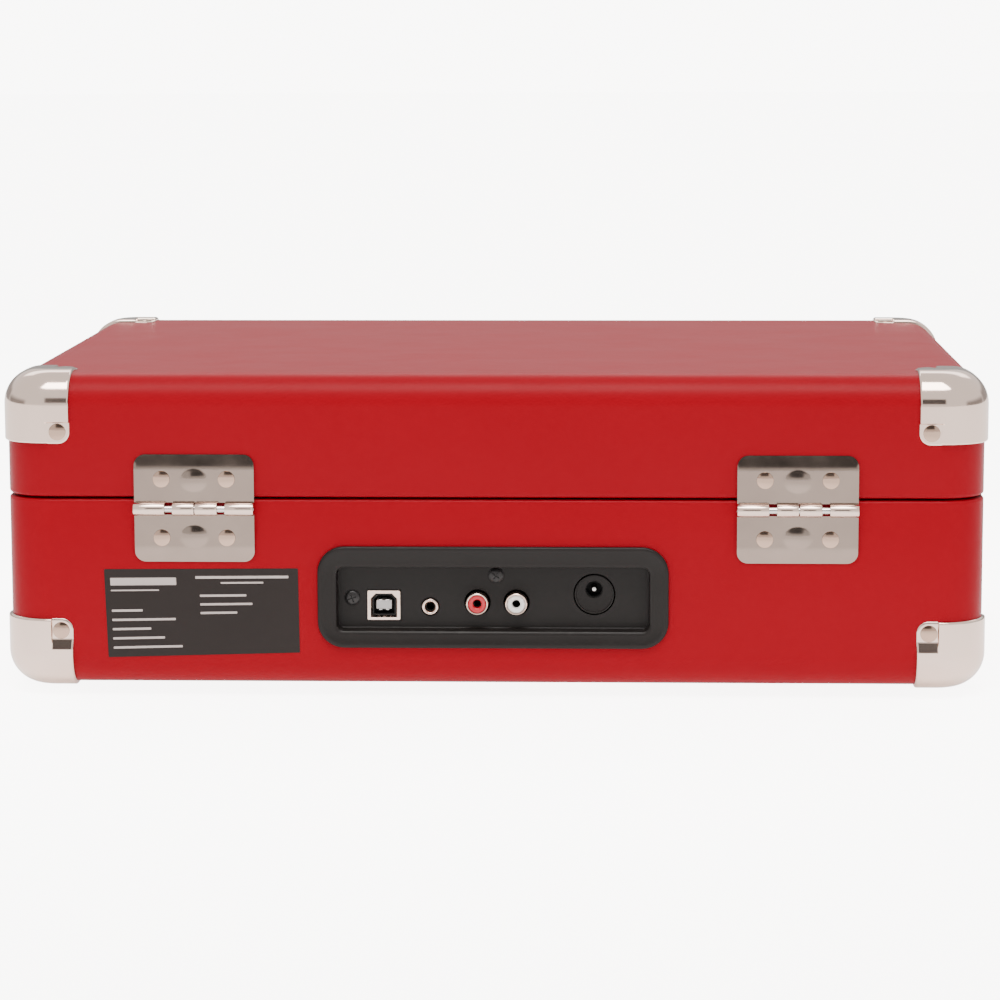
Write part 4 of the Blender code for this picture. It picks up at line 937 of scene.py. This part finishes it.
def round_sockets():
    """Audio jack, two phono sockets and the power inlet."""
    x, _, z = centre_of("aux_jack")
    bush = turned([(3.2, -3), (3.2, 0.1), (3.1, 0.5), (2.95, 0.95), (2.6, 1.15), (2.15, 1.05), (1.85, 0.6),
                   (1.8, -3)], 48, closed=True)
    put("aux_bush", outward(bush, x, z), NICKEL, "case", ("aux_jack",), smooth=50)
    # Near-black tube inside the bush: painted shade of the jack's bore.
    core = turned([(1.78, -10), (1.78, -1.2), (1.5, -1.2), (1.5, -9)], 32)
    put("aux_core", outward(core, x, z), HOLE_SHADE)
    for node, colour in (("rca_jack_red", RED_PLASTIC), ("rca_jack_white", WHITE_PLASTIC)):
        x, _, z = centre_of(node)
        shell = turned([(3.5, -12), (4.12, -12), (4.12, 3.9), (4.0, 4.3), (3.75, 4.45), (3.45, 4.3),
                        (3.4, 3.9)], 56, closed=True)
        put(f"{node}_shell", outward(shell, x, z), NICKEL, "case", (node,), smooth=50)
        insert = turned([(3.38, -11), (3.38, 3.5), (3.2, 3.85), (2.9, 4.0), (2.0, 3.95), (1.6, 3.7),
                         (1.5, 3.3), (1.5, -6)], 48)
        put(f"{node}_insert", outward(insert, x, z), colour, smooth=50)
        # Centre contact in near-black: painted shade deep inside the phono socket.
        contact = turned([(1.48, -5.9), (1.48, 1.5), (1.25, 1.5), (1.2, -5.5)], 32)
        put(f"{node}_contact", outward(contact, x, z), HOLE_SHADE)
    x, _, z = centre_of("dc_socket")
    bore_x, bore_z = mm(0.1, 1.8)
    disc = turned([(7.2, -1.8), (7.25, -0.1), (7.1, 0.22), (6.85, 0.3), (6.6, 0.22), (6.45, -0.05),
                   (6.1, -0.12), (0.05, -0.12)], 64)
    hole = placed(turned([(3.05, -9), (3.05, -0.5), (3.4, 0.4), (3.4, 2)], 40), (bore_x, -bore_z, 0))
    body = block(mm(-3.5, -5.6, -12.9), mm(3.5, 3.9, -1.5))
    put("power_inlet", outward(carved(carved(disc, joins=[body]), [hole]), x, z), PANEL_BLACK, "case",
        ("dc_socket",), bevel=0.08 * MM)
    pin = turned([(0.98, -9.8), (0.98, -1.3), (0.7, -0.85), (0.05, -0.75)], 24)
    put("power_pin", outward(pin, x + bore_x, z + bore_z), STEEL)
    # Near-black liner round the pin: painted shade of the power socket's bore.
    well = turned([(3.03, -9.5), (3.03, -1.0), (2.9, -1.0), (2.9, -8.9)], 32)
    put("power_well", outward(well, x + bore_x, z + bore_z), HOLE_SHADE)


def sticker():
    """Plain dark label, slightly askew, with bars in place of any wording."""
    corners = [Vector((x * MM, BOTTOM + z * MM))
               for x, z in ((141.4, 43.2), (70.7, 43.7), (70.3, 12.7), (140.3, 10.7))]

    def spot(u, v):
        return corners[0].lerp(corners[1], u).lerp(corners[3].lerp(corners[2], u), v)

    def slab(u0, v0, u1, v1, low, high):
        ring = softened([tuple(spot(u, v)) for u, v in ((u0, v0), (u1, v0), (u1, v1), (u0, v1))], 0.25 * MM)
        return prism(ring, BACK + low * MM, BACK + high * MM, "Y")

    put("rear_label", slab(0, 0, 1, 1, 0.005, 0.12), LABEL, smooth=50)
    bars = [(0.03, 0.10, 0.37, 0.185), (0.47, 0.085, 0.95, 0.115), (0.60, 0.155, 0.82, 0.175),
            (0.03, 0.235, 0.28, 0.25)]
    bars += [(0.49, 0.30 + 0.10 * k, 0.49 + w, 0.325 + 0.10 * k) for k, w in enumerate((0.24, 0.27, 0.19))]
    bars += [(0.03, 0.46 + 0.105 * k, 0.03 + w, 0.485 + 0.105 * k)
             for k, w in enumerate((0.16, 0.33, 0.20, 0.27, 0.36))]
    put("rear_label_bars", merged(*[slab(*bar, 0.10, 0.15) for bar in bars]), PRINT, smooth=50)


# ------------------------------------------------------------------ underside
def underside():
    """Bottom panel with its screws, and four turned rubber feet."""
    refined("base_bottom_panel", PANEL_BOARD, 0.6, segments=3)
    low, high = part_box("base_bottom_panel")
    edge = 5 * MM
    places = [((side_x * (high[0] - edge), side_y * (high[1] - edge), low[2] + 0.35 * MM), (180, 0, 25 * k))
              for k, side_x in enumerate((-1, 0, 1)) for side_y in (-1, 1)]
    repeat("bottom_panel_screws", phillips_screw(), places, STEEL, size=0.9)
    for number in (1, 2, 3, 4):
        low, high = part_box(f"foot_{number}")
        x, y, _ = centre_of(f"foot_{number}")
        radius, height = (high[0] - low[0]) / 2, high[2] - low[2]
        foot = lathed([mm(2.0, 1.4), mm(2.2, 0.1), mm(2.9, 0), (radius - 2.2 * MM, 0.0),
                       (radius - 1.4 * MM, 0.25 * MM), (radius - 1.0 * MM, 0.9 * MM),
                       (radius - 0.2 * MM, height - 0.8 * MM), (radius, height - 0.4 * MM),
                       (radius, height)], 48)
        put(f"foot_turned_{number}", placed(foot, (x, y, low[2])), RUBBER, "case", (f"foot_{number}",))


# ------------------------------------------------------------------ front: latches and handle
LATCH_FACE = FRONT - 1.45 * MM
LATCH_CENTRE = 115


def latches():
    """Two latches and the handle's brackets, with bevelled edges and rivets."""
    for number in (1, 2):
        for node in ("latch_hasp", "latch_plate", "latch_slider", "handle_bracket"):
            refined(f"{node}_{number}", SATIN_NICKEL, 0.45, segments=3)
    hasp_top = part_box("latch_hasp_1")[1][2]
    plate_low, plate_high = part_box("latch_plate_1")
    bracket_low, bracket_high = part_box("handle_bracket_1")
    on_lid = [(side * (LATCH_CENTRE + dx) * MM, hasp_top - 4 * MM) for side in (1, -1) for dx in (-9.5, 9.5)]
    on_base = [(side * x, plate_low[2] + 4 * MM) for side in (1, -1)
               for x in (plate_low[0] + 4 * MM, plate_high[0] - 4 * MM)]
    on_base += [(side * centre_of("handle_bracket_1")[0], z) for side in (1, -1)
                for z in (bracket_low[2] + 3.4 * MM, bracket_high[2] - 3.4 * MM)]
    for name, spots, body in (("latch_rivets_lid", on_lid, "lid"), ("front_rivets", on_base, "case")):
        places = [((x, LATCH_FACE, z), (90, 0, 0)) for x, z in spots]
        repeat(name, rivet_head(*mm(2.0, 0.5, 0.2)), places, NICKEL, body)


HANDLE_HALF = 47 * MM
HANDLE_Z = 50 * MM


def handle_path():
    """Middle line of the grip below its pins: x and z."""
    half, bend, drop = HANDLE_HALF, 12 * MM, 30 * MM
    path = [(-half, -z * MM) for z in (0, 4, 8, 12, 15, 17)]
    path += arc(bend, 180, 270, 12, (-half + bend, -drop + bend))
    path += [(x * MM, -drop) for x in range(-32, 33, 4)]
    path += arc(bend, 270, 360, 12, (half - bend, -drop + bend))
    return path + [(half, -z * MM) for z in (17, 15, 12, 8, 4, 0)]


def handle():
    """Padded grip covered like the case, stitched along both edges, with steel pins."""
    axis_y = centre_of("handle_grip")[1]
    path = handle_path()
    last = len(path) - 1
    sections, stitches = [], []
    for index, (x, z) in enumerate(path):
        before, after = path[max(index - 1, 0)], path[min(index + 1, last)]
        along = math.atan2(after[1] - before[1], after[0] - before[0])
        full = 1.0 - 0.12 * (1 - smooth_step(min(index, last - index), 0, 6))
        outline = [(u * full, v * full) for u, v in rounded_rectangle(8.6 * MM, 7.0 * MM, 3.1 * MM, 8)]
        sections.append([(x - u * math.sin(along), axis_y + v, HANDLE_Z + z + u * math.cos(along))
                         for u, v in outline])
        if 2 <= index < last - 2:
            nx, nz = path[index + 1]
            for share in (0.25, 0.75):
                mx, mz = x + (nx - x) * share, z + (nz - z) * share
                for lift in mm(-2.3, 2.3):
                    at = (mx - lift * math.sin(along), axis_y - 3.42 * MM,
                          HANDLE_Z + mz + lift * math.cos(along))
                    stitches.append((at, (0, -math.degrees(along), 0)))
    grip = loft(sections)
    pins, ends = [], []
    for side in (1, -1):
        at = (side * HANDLE_HALF, axis_y, HANDLE_Z)
        pin = turned([(1.7, 0), (1.98, 0.3), (1.98, 9.4), (1.7, 9.8)], 24)
        end = turned([(3.0, -3.8), (3.55, -3.3), (3.55, 3.3), (3.0, 3.8)], 32)
        pins.append(placed(pin, at, (0, 90 * side, 0)))
        ends.append(placed(end, at, (0, 90, 0)))
    put("handle_covering", merged(grip, *ends), LEATHERETTE, "handle", ("handle_grip",), smooth=40)
    put("handle_pins", merged(*pins), STEEL, "handle")
    stitch = turned([(0.08, -0.95), (0.24, -0.7), (0.27, 0), (0.24, 0.7), (0.08, 0.95)], 8)
    repeat("handle_stitches", placed(stitch, turn=(0, 90, 0)), stitches, THREAD, "handle")


# ------------------------------------------------------------------ deck, drive and tonearm
def deck():
    """Deck with its screws and the cloth behind the sound slots."""
    plate = frame["nodes"]["deck_plate"].data
    plate.materials.clear()
    plate.materials.append(DECK_BLACK)
    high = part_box("deck_plate")[1]
    cloths = []
    for number in (1, 2):
        speaker_low, speaker_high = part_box(f"speaker_{number}")
        cloths.append(block((speaker_low[0], speaker_low[1], speaker_high[2] + 0.08 * MM),
                            (speaker_high[0], speaker_high[1], speaker_high[2] + 0.2 * MM)))
    put("sound_slot_cloth", merged(*cloths), LINING)
    edge = 6 * MM
    places = [((side_x * (high[0] - edge), side_y * (high[1] - edge), high[2] - 0.05 * MM), (0, 0, 20 * k))
              for k, side_x in enumerate((-1, 1)) for side_y in (-1, 1)]
    repeat("deck_screws", phillips_screw(), places, SCREW_BLACK, size=0.8)


def turntable():
    """Platter with a finished rim, ribbed mat, spindle, belt, pulley and motor."""
    low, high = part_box("platter")
    x, y, _ = centre_of("platter")
    outer, top, bottom = (high[0] - low[0]) / 2, high[2] - 0.6 * MM, low[2]
    under, foot = top - 2 * MM, bottom + 0.6 * MM
    rim = [(3.9 * MM, top), (88.5 * MM, top), (88.8 * MM, top + 0.25 * MM), (89.2 * MM, top + 0.55 * MM),
           (91.0 * MM, top + 0.6 * MM), (91.6 * MM, top + 0.35 * MM), (outer, top - 0.3 * MM),
           (outer, bottom + 0.4 * MM), (outer - 0.4 * MM, bottom), (89.2 * MM, bottom), (89.0 * MM, under)]
    drum = [(62.0 * MM, under), (62.0 * MM, foot), (59.5 * MM, foot), (59.5 * MM, under)]
    hub = [(9.0 * MM, under), (9.0 * MM, foot), (5.3 * MM, foot), (5.3 * MM, under), (3.9 * MM, under)]
    put("platter_turned", placed(lathed(rim + drum + hub, 128, closed=True), (x, y, 0.0)), DECK_BLACK,
        "turntable", ("platter",), smooth=35)
    dots = []
    for k in range(90):
        angle = math.radians(4 * k)
        at = (x + outer * math.cos(angle), y + outer * math.sin(angle), top - 3.2 * MM)
        dots.append((at, (0, 90, 4 * k)))
    dot = turned([(0.9, -0.15), (0.9, 0.02), (0.7, 0.07), (0.02, 0.08)], 12)
    repeat("platter_dots", dot, dots, GREY_PLASTIC, "turntable")
    low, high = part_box("slip_mat")
    radius, bottom, top = (high[0] - low[0]) / 2, low[2], high[2]
    rings = [(4.2 * MM, bottom), (radius - 0.3 * MM, bottom), (radius, bottom + 0.4 * MM),
             (radius, top - 0.35 * MM), (radius - 0.5 * MM, top)]
    for r in range(84, 54, -3):
        groove = ((0, 0), (0.35, 0.4), (1.15, 0.4), (1.5, 0))
        rings += [((r - inward) * MM, top - sunk * MM) for inward, sunk in groove]
    rings += [(r * MM, top - sunk * MM) for r, sunk in ((50.4, 0), (49.4, 0.5), (4.6, 0.5), (4.2, 0.8))]
    put("mat_ribbed", placed(lathed(rings, 96, closed=True), (x, y, 0.0)), RUBBER, "turntable", ("slip_mat",))
    for node, look, edge in (("spindle", STEEL, 0.25), ("drive_belt", RUBBER, 0.12),
                             ("motor_pulley", WHITE_PLASTIC, 0.12), ("motor", STEEL, 0.3),
                             ("amplifier_board", BOARD_GREEN, 0.2), ("speaker_1", RUBBER, 0.25),
                             ("speaker_2", RUBBER, 0.25)):
        refined(node, look, edge)


def tonearm():
    """Arm with its post, rest, clip, lift and head."""
    for node, look, edge in (("tonearm_post", DECK_BLACK, 0.4), ("tonearm_rest", DECK_BLACK, 0.35),
                             ("arm_clip", DECK_BLACK, 0.2), ("tonearm_yoke", DECK_BLACK, 0.35),
                             ("tonearm_tube", GLOSS_BLACK, 0.25), ("headshell", GLOSS_BLACK, 0.4),
                             ("cartridge", DECK_BLACK, 0.3), ("stylus", RED_PLASTIC, 0.15),
                             ("lift_bar", GLOSS_BLACK, 0.25), ("cue_lever", GLOSS_BLACK, 0.4)):
        refined(node, look, edge, segments=3)


def controls():
    """Slide switches and the knurled volume knob."""
    for node in ("speed_switch", "autostop_switch"):
        refined(node, GLOSS_BLACK, 0.35, segments=3)
        low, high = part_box(node)
        x = centre_of(node)[0]
        ribs = [((x, low[1] + 2 * MM + 1.25 * MM * k, high[2] - 0.04 * MM), (0, 0, 0)) for k in range(5)]
        rib = block(mm(-2.4, -0.25, -0.2), mm(2.4, 0.25, 0.18))
        repeat(f"{node}_ribs", rib, ribs, GLOSS_BLACK, BODY_OF[node])
    refined("volume_knob", GLOSS_BLACK, 0.3, segments=3)
    low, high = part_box("volume_knob")
    middle = Vector(centre_of("volume_knob"))
    radius = (high[0] - low[0]) / 2 - 0.22 * MM
    ridges = []
    for k in range(36):
        angle = math.radians(10 * k)
        ridges.append(((middle.x + radius * math.cos(angle), middle.y + radius * math.sin(angle),
                        high[2] - 4.2 * MM), (0, 0, 10 * k)))
    ridge = turned([(0.2, -3.0), (0.38, -2.7), (0.38, 2.4), (0.1, 2.8)], 8)
    repeat("volume_knob_ridges", ridge, ridges, GLOSS_BLACK, "volume")
    mark = block((middle.x - 0.4 * MM, middle.y + 1.8 * MM, high[2] - 0.1 * MM),
                 (middle.x + 0.4 * MM, middle.y + 7.2 * MM, high[2]))
    put("volume_knob_mark", mark, WHITE_PLASTIC, "volume")


case_shells()
corner_protectors()
hinges()
rear_panel()
usb_socket()
round_sockets()
sticker()
underside()
latches()
handle()
deck()
turntable()
tonearm()
controls()
